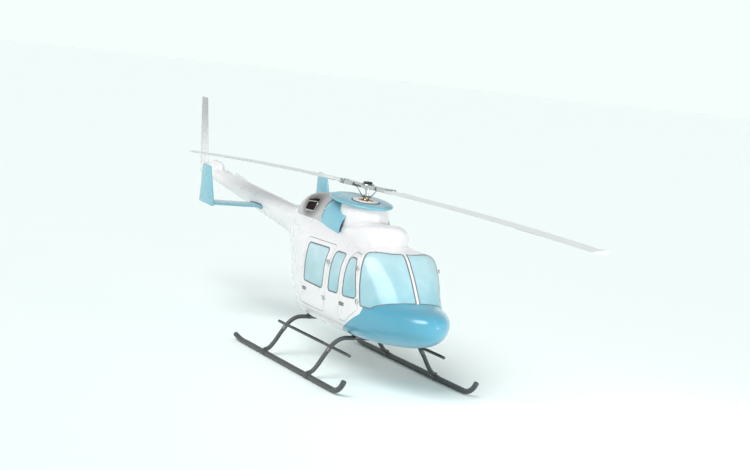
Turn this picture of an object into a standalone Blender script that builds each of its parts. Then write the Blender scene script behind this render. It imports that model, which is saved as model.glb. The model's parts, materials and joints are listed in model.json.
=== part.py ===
"""Light single-turbine helicopter on skids, parked with its two main blades nearly fore and aft.

Metres, +Z up, nose towards -Y, port side at +X. The numbers below are measured from the mast,
aft positive, and from the ground up; the last step moves the whole machine so that the origin
is on the ground under the middle of its bounding box.
"""
import math

import bmesh
import bpy
from mathutils import Matrix, Vector

# Driving dimensions
ORIGIN_AFT_OF_MAST = 0.988      # middle of the bounding box, between blade tip and fin tip
SKIN = 0.035                    # thickness of the cabin wall and of the doors
SEAM = 0.0003                   # gap between fixed pieces that touch
DOOR_GAP = 0.007                # gap round each door
GLASS = 0.008                   # thickness of every window pane

# Cabin body, one row for each ring:
# station, half width, keel height, height of the widest line, crown height, then how square the
# ring is above and below its widest line
BODY_ROWS = [
    (-2.540, 0.015, 1.105, 1.120, 1.135, 2.0, 2.0),
    (-2.500, 0.180, 0.975, 1.115, 1.212, 2.0, 2.0),
    (-2.390, 0.345, 0.872, 1.110, 1.270, 2.0, 2.1),
    (-2.200, 0.498, 0.782, 1.110, 1.310, 2.1, 2.2),
    (-1.950, 0.606, 0.715, 1.125, 1.340, 2.2, 2.4),
    (-1.930, 0.612, 0.711, 1.130, 1.346, 2.2, 2.4),
    (-1.900, 0.624, 0.706, 1.135, 1.385, 2.6, 2.5),
    (-1.640, 0.680, 0.678, 1.200, 1.715, 4.4, 3.2),
    (-1.375, 0.692, 0.664, 1.260, 1.950, 5.0, 3.8),
    (-1.200, 0.692, 0.660, 1.290, 1.985, 4.0, 4.2),
    (-0.900, 0.696, 0.658, 1.320, 2.018, 3.0, 4.6),
    (-0.400, 0.700, 0.657, 1.350, 2.065, 2.8, 4.8),
    (0.200, 0.692, 0.657, 1.360, 2.140, 3.2, 4.8),
    (0.620, 0.662, 0.664, 1.400, 2.185, 3.4, 4.4),
    (1.000, 0.588, 0.800, 1.480, 2.200, 3.4, 3.4),
    (1.350, 0.486, 1.080, 1.600, 2.202, 3.2, 2.8),
    (1.700, 0.370, 1.410, 1.750, 2.185, 2.7, 2.3),
    (2.000, 0.270, 1.600, 1.850, 2.135, 2.2, 2.0),
    (2.250, 0.224, 1.656, 1.880, 2.104, 2.0, 2.0),
]
RING_STATIONS = [-2.54, -2.50, -2.42, -2.26, -2.08, -1.95, -1.925, -1.78, -1.64, -1.50, -1.375,
                 -1.20, -0.95, -0.60, -0.20, 0.20, 0.62, 0.85, 1.10, 1.35, 1.60, 1.85, 2.05,
                 2.25]
RING_POINTS = 28
# How far the rings bow aft at the widest line, which sweeps the windshield round the nose
BOW_ROWS = [(-2.50, 0.34), (-1.93, 0.34), (-1.50, 0.23), (-1.10, 0.08), (-0.80, 0.0), (2.3, 0.0)]
BOW_WIDTH = 0.62

WINDSHIELD_BASE = -1.93
CABIN_REAR = 0.62
BODY_REAR = 2.25
SILL_Z = 0.84                   # joint between the cabin and the belly
FLOOR_TOP = 0.885
FLOOR_THICK = 0.03
FLOOR_FRONT = -1.85
CHIN_CORNER = (-1.50, 1.20)     # blue and white meet here on the side, then run down and aft
CHIN_KNEE = (-1.44, 1.085)
CHIN_TAIL = (-0.62, 0.593)
POST_HALF = 0.028               # windshield centre post
WINDSHIELD_LEAN = 0.28          # aft lean of the windshield's outer edge per metre of height

# Door and window outlines on the side of the cabin, as (station, height) corners
CREW_DOOR = [(-1.390, 1.14), (-1.06, 0.90), (-0.845, 0.90), (-0.845, 1.89), (-1.190, 1.89)]
CREW_WINDOW = [(-1.332, 1.28), (-0.92, 1.25), (-0.90, 1.82), (-1.162, 1.825)]
MID_WINDOW = [(-0.780, 1.25), (-0.46, 1.24), (-0.44, 1.825), (-0.745, 1.83)]
PASSENGER_DOOR = [(-0.370, 0.90), (0.500, 0.90), (0.500, 1.89), (-0.370, 1.89)]
PASSENGER_WINDOW = [(-0.270, 1.23), (0.400, 1.24), (0.430, 1.50), (0.400, 1.82), (-0.245, 1.83)]
WINDOW_CORNER = 0.055
DOOR_CORNER = 0.06
# The aft edges of a door and of its opening slant, in degrees, so that the door swings clear
CREW_TAPERS = (27.0, 22.0)
PASSENGER_TAPERS = (14.0, 11.0)
TAPER_X = 0.70                  # where a slanting edge is as wide as its outline
TAPER_REACH = 0.25              # no corner further than this from the aft edge is slanted
DOOR_INNER_X = 0.45             # the door and window cutters run from here to the outer one
CUTTER_OUTER_X = 1.0
KNUCKLE_R = 0.009
KNUCKLE_TALL = 0.030
# Each hinge line as its lower and upper (outboard, station, height) ends
CREW_HINGE = ((0.698, -1.370, 1.225), (0.676, -1.233, 1.745))
PASSENGER_HINGE = ((0.716, -0.374, 1.08), (0.716, -0.374, 1.68))
CREW_REACH = (0.028, 0.034)     # length of the arm to the pillar and of the arm to the door
PASSENGER_REACH = (0.045, 0.075)

# Cabin furniture: low and high corners of the boxes, side profiles as (station, height)
SEAT_BOX_TOP = 1.08
FRONT_SEAT_BOX = (0.50, -0.98, -0.54)   # half width, front, rear
REAR_SEAT_BOX = (0.48, 0.06, 0.5850)
SEAT_SIDE = [(-0.99, 1.0803), (-0.99, 1.20), (-0.67, 1.19), (-0.60, 1.72), (-0.50, 1.74),
             (-0.53, 1.0803)]
SEAT_X = 0.27
SEAT_HALF = 0.22
BENCH_SIDE = [(0.05, 1.0803), (0.05, 1.20), (0.38, 1.19), (0.44, 1.70), (0.53, 1.72),
              (0.55, 1.0803)]
BENCH_HALF = 0.47
CONSOLE_FRONT = -1.66
CONSOLE_SIDE = [(CONSOLE_FRONT, 1.14), (-1.62, 1.30), (-1.44, 1.33), (-1.40, 1.28),
                (-1.48, 1.04), (-1.30, 0.98)]
CONSOLE_HALF = 0.26
BULKHEAD_FRONT = 0.5853
BULKHEAD_REAR = 0.605

# Roof fairing, cowlings and rotor pylon
DECK_CENTRE = -0.55
DECK_HALF_WIDTH = 0.42
DECK_NOSE = 0.49
DECK_TAIL = 1.18
DECK_TOP = 2.265
DECK_FALL = 0.110               # drop of the deck per metre aft
DECK_FOOT = 1.80
DRUM_CENTRE = 0.0
DRUM_HALF = (0.345, 0.400)
DRUM_FLARE = 0.020
DRUM_TOP = 2.480
CAP_CENTRE = 0.14
CAP_HALF = (0.450, 0.600)
CAP_TOP = 2.532
CAP_SLOPE = math.tan(math.radians(4.5))  # the cap and the drum's top rise towards the tail
BLOCK_TOP = 2.440               # top of the transmission, where the mast starts
BLOCK_R = 0.20
ENGINE_BLOCK = ((-0.17, 0.90, 2.05), (0.17, 1.50, 2.34))
VENT_SIDE = [(0.86, 2.24), (1.26, 2.22), (1.26, 2.40), (0.86, 2.42)]  # exhaust recess
VENT_CORNER = 0.03
VENT_INNER_X = 0.30
COWL_SQUARE = 2.7               # how square the cowlings' arch is
COWL_MARGIN = 0.003             # room between the cowlings and the drum and cap inside them
COWL_WALL = 0.020
COWL_FOOT = 1.95
COWL_SPLIT = 0.52
# station, half width and crown height of the intake and of the engine cowling
INTAKE_ROWS = [(-0.08, 0.450, 2.420), (0.20, 0.462, 2.480), (0.52, 0.455, 2.520)]
ENGINE_ROWS = [(0.52, 0.455, 2.520), (0.90, 0.442, 2.525), (1.25, 0.400, 2.498),
               (1.55, 0.335, 2.432), (1.78, 0.255, 2.325), (1.94, 0.170, 2.185)]
MAST_R = 0.027
MAST_HOLE = 0.040
HUB_Z = 2.755
COLLAR_R = 0.200

# Main rotor
ROTOR_R = 5.0
PARK_ANGLE = math.radians(80.0)  # the forward blade points this far from port towards the nose
BLADE_START = 0.503             # inner end of the blades, in the slots of the yoke
BLADE_DROOP_START = 0.75
BLADE_SHARES = (0.0, 0.03, 0.12, 0.25, 0.4, 0.55, 0.7, 0.85, 0.97, 1.0)
BLADE_CHORD = 0.33
BLADE_THICK = 0.036
BLADE_DROOP = 0.12
YOKE_HALF = (0.66, 0.07, 0.030)  # half length, half width and half thickness
SLOT_START = 0.50
SLOT_HALF = 0.0185
HUB_R = 0.105
HUB_BOSS = 0.012                # the hub's boss stands this far above the yoke
CAP_STEPS = [(0.0423, 0.050), (0.046, 0.066), (0.062, 0.070), (0.072, 0.052)]

# Tail
BOOM_FRONT = 2.2503
BOOM_REAR = 6.26
BOOM_FRONT_R = 0.2225
BOOM_REAR_R = 0.108
BOOM_FRONT_Z = 1.882
BOOM_REAR_Z = 2.232
BOOM_WALL = 0.018
BOOM_STATIONS = (BOOM_FRONT, 3.0, 3.9, 5.0, BOOM_REAR)
STAB_REAR = 3.87
STAB_CHORD = 0.62
STAB_Z = 1.950
STAB_HALF_SPAN = 1.060
STAB_THICK = 0.055
PLATE_CORNERS = [(0.637, 1.905), (0.0, 1.920), (0.0, 2.558), (0.327, 2.546)]  # ahead, height
PLATE_THICK = 0.030
# station, half width, half height and middle height of the cone that closes the boom
CONE_ROWS = [(6.2603, 0.112, 0.118, 2.232), (6.36, 0.098, 0.120, 2.236),
             (6.50, 0.060, 0.095, 2.226), (6.60, 0.022, 0.055, 2.200)]
# station, half width and crown height of the fairing over the tail gearbox
BUMP_ROWS = [(5.56, 0.02, 2.27), (5.62, 0.075, 2.375), (5.74, 0.105, 2.425),
             (5.92, 0.110, 2.435), (6.08, 0.085, 2.405), (6.17, 0.03, 2.31)]
BUMP_FOOT = 2.20
FIN_CORNERS = [(6.24, 2.20), (6.618, 3.50), (6.901, 3.50), (6.62, 2.10)]
FIN_THICK = 0.060
TAIL_HUB = (0.34, 6.00, 2.180)
TAIL_PARK_ANGLE = math.radians(7.0)
TAIL_ROTOR_R = 0.82
TAIL_CHORD = 0.13
TAIL_THICK = 0.020
TAIL_BLADE_STEPS = [(0.0, 0.42), (0.12, 0.5), (0.2, 1.0), (0.6, 1.0), (0.97, 1.0), (1.0, 1.0)]
TAIL_BAR_HALF = (0.016, 0.13, 0.03)
TAIL_SHAFT_R = 0.026
SLEEVE_R = 0.045
SLEEVE_END = 0.25

# Landing gear
SKID_X = 1.075
SKID_R = 0.040
SHOE_THICK = 0.006
SKID_Z = SHOE_THICK + SEAM + SKID_R * math.cos(math.pi / 12)  # the tube has 12 flat sides
SKID_REAR = 1.79
CROSSTUBE_R = 0.0325
CROSSTUBE_Z = 0.618
CROSSTUBE_STATIONS = {"front": -0.87, "aft": 0.67}
CROSSTUBE_SIDE = [(0.0, CROSSTUBE_Z), (0.42, CROSSTUBE_Z), (0.58, 0.605), (0.71, 0.525),
                  (0.82, 0.375), (0.92, 0.215), (1.00, 0.118), (1.075, 0.085)]
SKID_TOE = -1.70                # where the toe starts to curl up
TOE_CURL = (0.36, math.radians(62))  # radius and angle of the curl
SHOE_SPAN = (-1.55, 1.25)
SHOE_HALF = 0.0105
SADDLE_HALF = (0.40, 0.07)
STEP_R = 0.022
STEP_X = 0.775
STEP_Z = 0.492
STEP_STATIONS = (0.90, 0.2, -0.6, -1.54)
HARDPOINT = ((-0.15, -0.27, 0.630), (0.15, 0.03, 0.80))


def smooth(rows, station, column=1):
    """Value of a column at a station, on a curve that never overshoots its rows."""
    xs = [row[0] for row in rows]
    ys = [row[column] for row in rows]
    if station <= xs[0]:
        return ys[0]
    if station >= xs[-1]:
        return ys[-1]
    i = max(k for k in range(len(xs) - 1) if xs[k] <= station)
    slopes = [(ys[k + 1] - ys[k]) / (xs[k + 1] - xs[k]) for k in range(len(xs) - 1)]

    def tangent(k):
        if k == 0:
            return slopes[0]
        if k == len(xs) - 1:
            return slopes[-1]
        before, after = slopes[k - 1], slopes[k]
        return 0.0 if before * after <= 0 else 2 * before * after / (before + after)

    width = xs[i + 1] - xs[i]
    t = (station - xs[i]) / width
    rise = ys[i + 1] - ys[i]
    a = tangent(i) * width - rise
    b = rise - tangent(i + 1) * width
    return ys[i] + rise * t + t * (1 - t) * (a * (1 - t) + b * t)


def power(value, exponent):
    return math.copysign(abs(value) ** exponent, value)


def material(name, color, roughness, metallic=0.0, alpha=1.0):
    mat = bpy.data.materials.new(name)
    mat.use_nodes = True
    shader = mat.node_tree.nodes["Principled BSDF"]
    shader.inputs["Base Color"].default_value = (*color, 1.0)
    shader.inputs["Roughness"].default_value = roughness
    shader.inputs["Metallic"].default_value = metallic
    shader.inputs["Alpha"].default_value = alpha
    mat.diffuse_color = (*color, alpha)
    return mat


def new_object(name, bm, mat=None):
    bmesh.ops.recalc_face_normals(bm, faces=bm.faces)
    mesh = bpy.data.meshes.new(name)
    bm.to_mesh(mesh)
    bm.free()
    obj = bpy.data.objects.new(name, mesh)
    bpy.context.scene.collection.objects.link(obj)
    if mat:
        mesh.materials.append(mat)
        mesh.shade_smooth()
        mesh.set_sharp_from_angle(angle=math.radians(35))
    else:
        obj.hide_render = True
        obj.display_type = "WIRE"
    return obj


def loft(rings, twisted=False):
    """Closed solid through rings of points, with a flat cap on each end.

    Twisted sides are split into triangles along one fixed diagonal, so that a solid and the
    tool drawn round it have the same facets.
    """
    bm = bmesh.new()
    rows = [[bm.verts.new(p) for p in ring] for ring in rings]
    count = len(rows[0])
    for lower, upper in zip(rows, rows[1:]):
        for k in range(count):
            nxt = (k + 1) % count
            if twisted:
                bm.faces.new((lower[k], lower[nxt], upper[nxt]))
                bm.faces.new((lower[k], upper[nxt], upper[k]))
            else:
                bm.faces.new((lower[k], lower[nxt], upper[nxt], upper[k]))
    bm.faces.new(rows[0])
    bm.faces.new(rows[-1])
    return bm


def box(low, high):
    corners = [(low[0], low[1]), (high[0], low[1]), (high[0], high[1]), (low[0], high[1])]
    return loft([[Vector((x, y, z)) for x, y in corners] for z in (low[2], high[2])])


def cylinder(centre, radius, low, high, sides=16, axis="Z"):
    """Round bar round a point of the plane across its axis, from low to high along it."""
    rings = []
    for level in (low, high):
        ring = []
        for k in range(sides):
            turn = 2 * math.pi * (k + 0.5) / sides
            u, v = radius * math.cos(turn), radius * math.sin(turn)
            if axis == "Z":
                ring.append(Vector((centre[0] + u, centre[1] + v, level)))
            else:
                ring.append(Vector((level, centre[0] + u, centre[1] + v)))
        rings.append(ring)
    return loft(rings)


def tube(path, radius, sides=12, grow=0.0):
    """Round tube along a list of points."""
    rings = []
    side = Vector((1, 0, 0))
    for k, point in enumerate(path):
        ahead = path[min(k + 1, len(path) - 1)] - path[max(k - 1, 0)]
        ahead.normalize()
        if abs(ahead.dot(side)) > 0.9 and k == 0:
            side = Vector((0, 1, 0))
        side = (side - ahead * side.dot(ahead)).normalized()
        other = ahead.cross(side)
        end = -grow if k == 0 else (grow if k == len(path) - 1 else 0.0)
        turns = [2 * math.pi * (j + 0.5) / sides for j in range(sides)]
        rings.append([point + ahead * end + (radius + grow) * (side * math.cos(t)
                      + other * math.sin(t)) for t in turns])
    return loft(rings)


def through(points, steps):
    """Smooth path through a few points, as Catmull-Rom arcs."""
    points = [Vector(p) for p in points]
    path = []
    for k in range(len(points) - 1):
        p0, p1 = points[max(k - 1, 0)], points[k]
        p2, p3 = points[k + 1], points[min(k + 2, len(points) - 1)]
        for j in range(steps):
            t = j / steps
            path.append(0.5 * (2 * p1 + (p2 - p0) * t + (2 * p0 - 5 * p1 + 4 * p2 - p3) * t * t
                               + (3 * p1 - p0 - 3 * p2 + p3) * t ** 3))
    path.append(points[-1])
    return path


def grown(outline, amount):
    """Convex outline with every edge moved outwards by an amount."""
    area = sum(a[0] * b[1] - b[0] * a[1] for a, b in zip(outline, outline[1:] + outline[:1]))
    turn = 1.0 if area > 0 else -1.0
    moved = []
    for k, corner in enumerate(outline):
        before, after = outline[k - 1], outline[(k + 1) % len(outline)]
        e1 = Vector((corner[0] - before[0], corner[1] - before[1])).normalized()
        e2 = Vector((after[0] - corner[0], after[1] - corner[1])).normalized()
        n1 = Vector((e1.y, -e1.x)) * turn
        n2 = Vector((e2.y, -e2.x)) * turn
        shift = (n1 + n2) * (amount / (1.0 + n1.dot(n2)))
        moved.append((corner[0] + shift.x, corner[1] + shift.y))
    return moved


def rounded(outline, radius, steps=3):
    """Convex outline with its corners cut by arcs."""
    points = []
    for k, corner in enumerate(outline):
        here = Vector(corner)
        before = (Vector(outline[k - 1]) - here).normalized()
        after = (Vector(outline[(k + 1) % len(outline)]) - here).normalized()
        half = 0.5 * before.angle(after)
        reach = radius / math.tan(half)
        middle = here + (before + after).normalized() * (radius / math.sin(half))
        start = here + before * reach - middle
        sweep = math.pi - 2 * half
        turn = 1.0 if before.x * after.y - before.y * after.x < 0 else -1.0
        for j in range(steps + 1):
            angle = turn * sweep * j / steps
            c, s = math.cos(angle), math.sin(angle)
            points.append(tuple(middle + Vector((c * start.x - s * start.y,
                                                 s * start.x + c * start.y))))
    return points


def side_prism(outline, side, taper=0.0, edge=0.0, inner_x=DOOR_INNER_X):
    """Prism through one side of the cabin.

    With a taper, what lies near the given edge slants forwards towards the inside.
    """
    rings = []
    for x in (inner_x, CUTTER_OUTER_X):
        pull = math.tan(math.radians(taper)) * (TAPER_X - x)
        ring = []
        for y, z in outline:
            share = min(1.0, max(0.0, 1 - (edge - y) / TAPER_REACH))
            ring.append(Vector((side * x, y - pull * share, z)))
        rings.append(ring)
    return loft(rings)


def cut(obj, *tools, operation="DIFFERENCE"):
    for tool in tools:
        step = obj.modifiers.new(operation.lower(), "BOOLEAN")
        step.operation = operation
        step.object = tool
        step.solver = "EXACT"
    return obj


def frozen(name, obj):
    """Copy of an object with its modifiers worked in, hidden as a tool for further cuts."""
    bpy.context.view_layer.update()
    graph = bpy.context.evaluated_depsgraph_get()
    mesh = bpy.data.meshes.new_from_object(obj.evaluated_get(graph))
    copy = bpy.data.objects.new(name, mesh)
    copy.hide_render = True
    copy.display_type = "WIRE"
    bpy.context.scene.collection.objects.link(copy)
    return copy


def panel(name, source, mat, keep=(), remove=(), add=()):
    """A visible piece: what the keep tools leave of a source solid, less some, plus some."""
    obj = bpy.data.objects.new(name, source.data.copy())
    bpy.context.scene.collection.objects.link(obj)
    obj.data.materials.clear()
    obj.data.materials.append(mat)
    for tool in keep:
        cut(obj, tool, operation="INTERSECT")
    for tool in remove:
        cut(obj, tool)
    for tool in add:
        cut(obj, tool, operation="UNION")
    return obj


def body_ring(station, inset=0.0):
    half, keel, wide, crown, above, below = (smooth(BODY_ROWS, station, c) for c in range(1, 7))
    bow = smooth(BOW_ROWS, station)
    ring = []
    for k in range(RING_POINTS):
        turn = 2 * math.pi * k / RING_POINTS
        square = above if k < RING_POINTS / 2 else below
        x = (half - inset) * power(math.cos(turn), 2 / square)
        rise = power(math.sin(turn), 2 / square)
        z = wide + rise * ((crown - wide - inset) if rise > 0 else (wide - keel - inset))
        ring.append(Vector((x, station + bow * (x / BOW_WIDTH) ** 2, z)))
    return ring


def body_solid(name, inset=0.0):
    """The whole cabin body as one solid, drawn in by an inset."""
    first = RING_STATIONS[0]
    if inset > 0.001:
        stations = [s for s in RING_STATIONS if s > first + 0.9 * inset]
        stations = [max(s, first + 1.4 * inset) for s in stations]
        stations[-1] = BODY_REAR + 0.05
    else:
        stations = list(RING_STATIONS)
        stations[0] = first - max(0.0, -inset)
    return new_object(name, loft([body_ring(s, inset) for s in stations], True))


def chin_tool(name, grow=0.0):
    """Everything ahead of the windshield's base and below the blue and white boundary."""
    low, high, front = 0.2, 2.2, -3.0
    rings = []
    for k in range(18):
        x = 0.9 * (k - 8.5) / 8.5
        bow = smooth(BOW_ROWS, WINDSHIELD_BASE) * (x / BOW_WIDTH) ** 2
        brow = min(WINDSHIELD_BASE + bow, CHIN_CORNER[0] - 0.01) + grow
        outline = [(front, low), (front, high), (brow, high), (brow, CHIN_CORNER[1] + grow),
                   (CHIN_CORNER[0] + grow, CHIN_CORNER[1] + grow),
                   (CHIN_KNEE[0] + grow, CHIN_KNEE[1] + grow),
                   (CHIN_TAIL[0] + grow, CHIN_TAIL[1] + grow), (CHIN_TAIL[0] + grow, low)]
        rings.append([Vector((x, y, z)) for y, z in outline])
    return new_object(name, loft(rings))


def windshield_tool(name, side, grow=0.0):
    """One half of the windshield opening, from the post round to the door pillar."""
    top_edge = [(POST_HALF, -1.385), (0.20, -1.368), (0.36, -1.305), (0.46, -1.240),
                (0.53, -1.232), (0.60, -1.245), (0.85, -1.250)]
    reference = 1.86
    rings = []
    for z in (CHIN_CORNER[1] - 2 * grow, 2.15):
        lean = WINDSHIELD_LEAN * (z - reference)
        inner = POST_HALF - grow
        ring = [(inner, -2.3), (inner, top_edge[0][1] + lean + grow)]
        ring += [(x, y + lean + grow) for x, y in top_edge[1:]]
        ring.append((0.85, -2.3))
        rings.append([Vector((side * x, y, z)) for x, y in ring])
    return new_object(name, loft(rings))


def hinge_frame(line, side):
    """A hinge's lower end, and its outboard, aft and upward directions."""
    low, high = (Vector((side * x, y, z)) for x, y, z in line)
    along = (high - low).normalized()
    out = Vector((side, 0, 0))
    out = (out - along * out.dot(along)).normalized()
    return low, out, side * along.cross(out), along


def knuckle(name, hinge, level, reach, leaf):
    """Hinge barrel on a door's axis, with the arm that joins it to the skin."""
    origin, out, aft, along = hinge
    low = level + (KNUCKLE_TALL + SEAM if leaf else 0.0)
    high = low + KNUCKLE_TALL

    def place(u, v, w):
        return origin + out * u + aft * v + along * w

    turns = [2 * math.pi * (k + 0.5) / 10 for k in range(10)]
    barrel = new_object(name + "_barrel", loft(
        [[place(KNUCKLE_R * math.cos(t), KNUCKLE_R * math.sin(t), w) for t in turns]
         for w in (low, high)]))
    near, far = (0.001, reach) if leaf else (-reach, -0.001)
    third = KNUCKLE_TALL / 3
    corners = [(-0.045, near), (0.004, near), (0.004, far), (-0.045, far)]
    arm = new_object(name + "_arm", loft(
        [[place(u, v, w) for u, v in corners] for w in (low + third, high - third)]))
    cut(arm, barrel, operation="UNION")
    return frozen(name, arm)


def build_cabin(paint, blue, glass, trim):
    """Nose, cabin, belly, aft body, doors and windows, all cut from one hollow body."""
    outer = body_solid("body_outer")
    outer_clear = body_solid("body_outer_clear", -SEAM)
    inner = body_solid("body_inner", SKIN)
    inner_fit = body_solid("body_inner_fit", SKIN + SEAM)
    shell_parts = panel("shell_parts", outer, paint, remove=[inner])
    shell = frozen("shell", shell_parts)
    bpy.data.objects.remove(shell_parts)
    glass_out = body_solid("glass_outer", 0.002)
    glass_in = body_solid("glass_inner", 0.002 + GLASS)
    pane_parts = panel("pane_parts", glass_out, glass, remove=[glass_in])
    panes = frozen("panes", pane_parts)
    bpy.data.objects.remove(pane_parts)

    chin = chin_tool("chin_region")
    chin_clear = chin_tool("chin_region_clear", SEAM)
    cabin_box = new_object("cabin_region", box((-2, -4, SILL_Z), (2, CABIN_REAR, 3)))
    belly_box = new_object("belly_region", box((-2, -4, 0), (2, CABIN_REAR, SILL_Z - SEAM)))
    aft_box = new_object("aft_region", box((-2, CABIN_REAR + SEAM, 0), (2, BODY_REAR, 3)))
    panel("nose_fairing", shell, blue, keep=[chin])
    panel("belly_shell", shell, paint, keep=[belly_box], remove=[chin_clear])
    panel("aft_fuselage", shell, paint, keep=[aft_box])

    openings, lugs = [], []
    for side, label in ((1, "left"), (-1, "right")):
        shield = windshield_tool("windshield_opening_" + label, side)
        pane = windshield_tool("windshield_pane_" + label, side, -SEAM)
        panel("windshield_" + label, panes, glass, keep=[pane], remove=[chin_clear])
        openings.append(shield)

        hole = new_object("mid_opening_" + label,
                          side_prism(rounded(MID_WINDOW, WINDOW_CORNER), side))
        pane = new_object("mid_pane_" + label, side_prism(
            rounded(grown(MID_WINDOW, -SEAM), WINDOW_CORNER), side))
        panel("mid_window_" + label, panes, glass, keep=[pane])
        openings.append(hole)

        for kind, outline, window, line, reach, tapers in (
                ("crew", CREW_DOOR, CREW_WINDOW, CREW_HINGE, CREW_REACH, CREW_TAPERS),
                ("passenger", PASSENGER_DOOR, PASSENGER_WINDOW, PASSENGER_HINGE,
                 PASSENGER_REACH, PASSENGER_TAPERS)):
            tag = kind + "_" + label
            edge = max(y for y, z in outline)
            leaf = new_object("leaf_" + tag, side_prism(
                rounded(outline, DOOR_CORNER), side, tapers[0], edge))
            way = new_object("way_" + tag, side_prism(
                rounded(grown(outline, DOOR_GAP), DOOR_CORNER + DOOR_GAP), side, tapers[1],
                edge))
            hole = new_object("hole_" + tag, side_prism(rounded(window, WINDOW_CORNER), side))
            pane = new_object("pane_" + tag, side_prism(
                rounded(grown(window, -SEAM), WINDOW_CORNER), side))
            hinge = hinge_frame(line, side)
            length = (Vector(line[1]) - Vector(line[0])).length
            levels = (0.0, length - 2 * KNUCKLE_TALL - SEAM)
            leaves = [knuckle("leaf_knuckle_%s%d" % (tag, n), hinge, level, reach[1], True)
                      for n, level in enumerate(levels)]
            lugs += [knuckle("frame_knuckle_%s%d" % (tag, n), hinge, level, reach[0], False)
                     for n, level in enumerate(levels)]
            door = panel(kind + "_door_" + label, shell, paint, keep=[leaf], remove=[hole],
                         add=leaves)
            window_pane = panel(kind + "_window_" + label, panes, glass, keep=[pane])
            pivot = bpy.data.objects.new(kind + "_door_axis_" + label, None)
            pivot.location = hinge[0]
            bpy.context.scene.collection.objects.link(pivot)
            hang(door, pivot)
            hang(window_pane, pivot)
            openings.append(way)
    panel("cabin_shell", shell, paint, keep=[cabin_box], remove=[chin_clear] + openings,
          add=lugs)

    floor = new_object("cabin_floor_source", box(
        (-1, FLOOR_FRONT, FLOOR_TOP - FLOOR_THICK), (1, BULKHEAD_FRONT - SEAM, FLOOR_TOP)))
    panel("cabin_floor", floor, trim, keep=[inner_fit])
    wall = new_object("rear_bulkhead_source", box(
        (-1, BULKHEAD_FRONT, FLOOR_TOP - FLOOR_THICK), (1, BULKHEAD_REAR, 2.5)))
    panel("rear_bulkhead", wall, trim, keep=[inner_fit])
    return outer_clear


def hang(obj, pivot):
    """Parent an object to a pivot without moving it."""
    obj.data.transform(Matrix.Translation(-pivot.location))
    obj.parent = pivot


def side_loft(name, outline, low_x, high_x, mat):
    """Solid with one side profile, from one side position to another."""
    return new_object(name, loft([[Vector((x, y, z)) for y, z in outline]
                                  for x in (low_x, high_x)]), mat)


def build_interior(cloth, trim, black):
    """Seat boxes, seats, bench and instrument console, seen through the glass."""
    low = FLOOR_TOP + SEAM
    for name, (half, front, rear) in (("front_seat_box", FRONT_SEAT_BOX),
                                      ("rear_seat_box", REAR_SEAT_BOX)):
        new_object(name, box((-half, front, low), (half, rear, SEAT_BOX_TOP)), trim)
    for name, middle in (("pilot_seat", -SEAT_X), ("copilot_seat", SEAT_X)):
        side_loft(name, SEAT_SIDE, middle - SEAT_HALF, middle + SEAT_HALF, cloth)
    side_loft("rear_bench", BENCH_SIDE, -BENCH_HALF, BENCH_HALF, cloth)
    profile = [(CONSOLE_FRONT, low)] + CONSOLE_SIDE + [(CONSOLE_SIDE[-1][0], low)]
    side_loft("instrument_console", profile, -CONSOLE_HALF, CONSOLE_HALF, black)


def oval(centre, half, level, inset=0.0, sides=28, slope=0.0):
    """Level ring, or one that rises towards the tail by a slope; its level is that at the mast."""
    ring = []
    for k in range(sides):
        turn = 2 * math.pi * (k + 0.5) / sides
        y = centre + (half[1] - inset) * math.sin(turn)
        ring.append(Vector(((half[0] - inset) * math.cos(turn), y, level + slope * y)))
    return ring


def deck_height(y):
    return DECK_TOP - DECK_FALL * (y - DECK_CENTRE)


def deck_ring(share, pull, inset, sides=28):
    """Outline of the roof fairing at a share of its height, pulled in from its widest."""
    ring = []
    for k in range(sides):
        turn = 2 * math.pi * (k + 0.5) / sides
        x = (DECK_HALF_WIDTH - 0.6 * pull - inset) * math.cos(turn)
        if math.sin(turn) < 0:
            y = DECK_CENTRE + (DECK_NOSE - pull - inset) * math.sin(turn)
        else:
            y = DECK_CENTRE + (DECK_TAIL - pull - inset) * math.sin(turn) ** 0.8
        top = deck_height(y) - inset
        ring.append(Vector((x, y, DECK_FOOT + share * (top - DECK_FOOT))))
    return ring


def deck_solid(name, inset=0.0):
    steps = [(0.0, 0.0), (0.60, 0.0), (0.76, 0.025), (0.87, 0.08), (0.95, 0.17), (1.0, 0.30)]
    rings = [deck_ring(share, pull, inset) for share, pull in steps]
    if inset > 0.001:
        rings[0] = [p - Vector((0, 0, 0.05)) for p in rings[0]]
    return new_object(name, loft(rings, True))


def cowl_solid(name, rows, inset=0.0, open_front=0.0, open_rear=0.0, points=12):
    """Arched cowling over the deck; an opened end runs past its row by that length."""
    rings = []
    for k, (station, half, crown) in enumerate(rows):
        y = station
        if k == 0:
            y -= open_front
        if k == len(rows) - 1:
            y += open_rear if open_rear else -inset
        ring = [Vector((half - inset, y, COWL_FOOT - 0.1))]
        for j in range(points + 1):
            turn = math.pi * j / points
            x = (half - inset) * power(math.cos(turn), 2 / COWL_SQUARE)
            ring.append(Vector((x, y, COWL_FOOT + (crown - inset - COWL_FOOT)
                                * math.sin(turn) ** (2 / COWL_SQUARE))))
        ring.append(Vector((inset - half, y, COWL_FOOT - 0.1)))
        rings.append(ring)
    return new_object(name, loft(rings))


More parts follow.
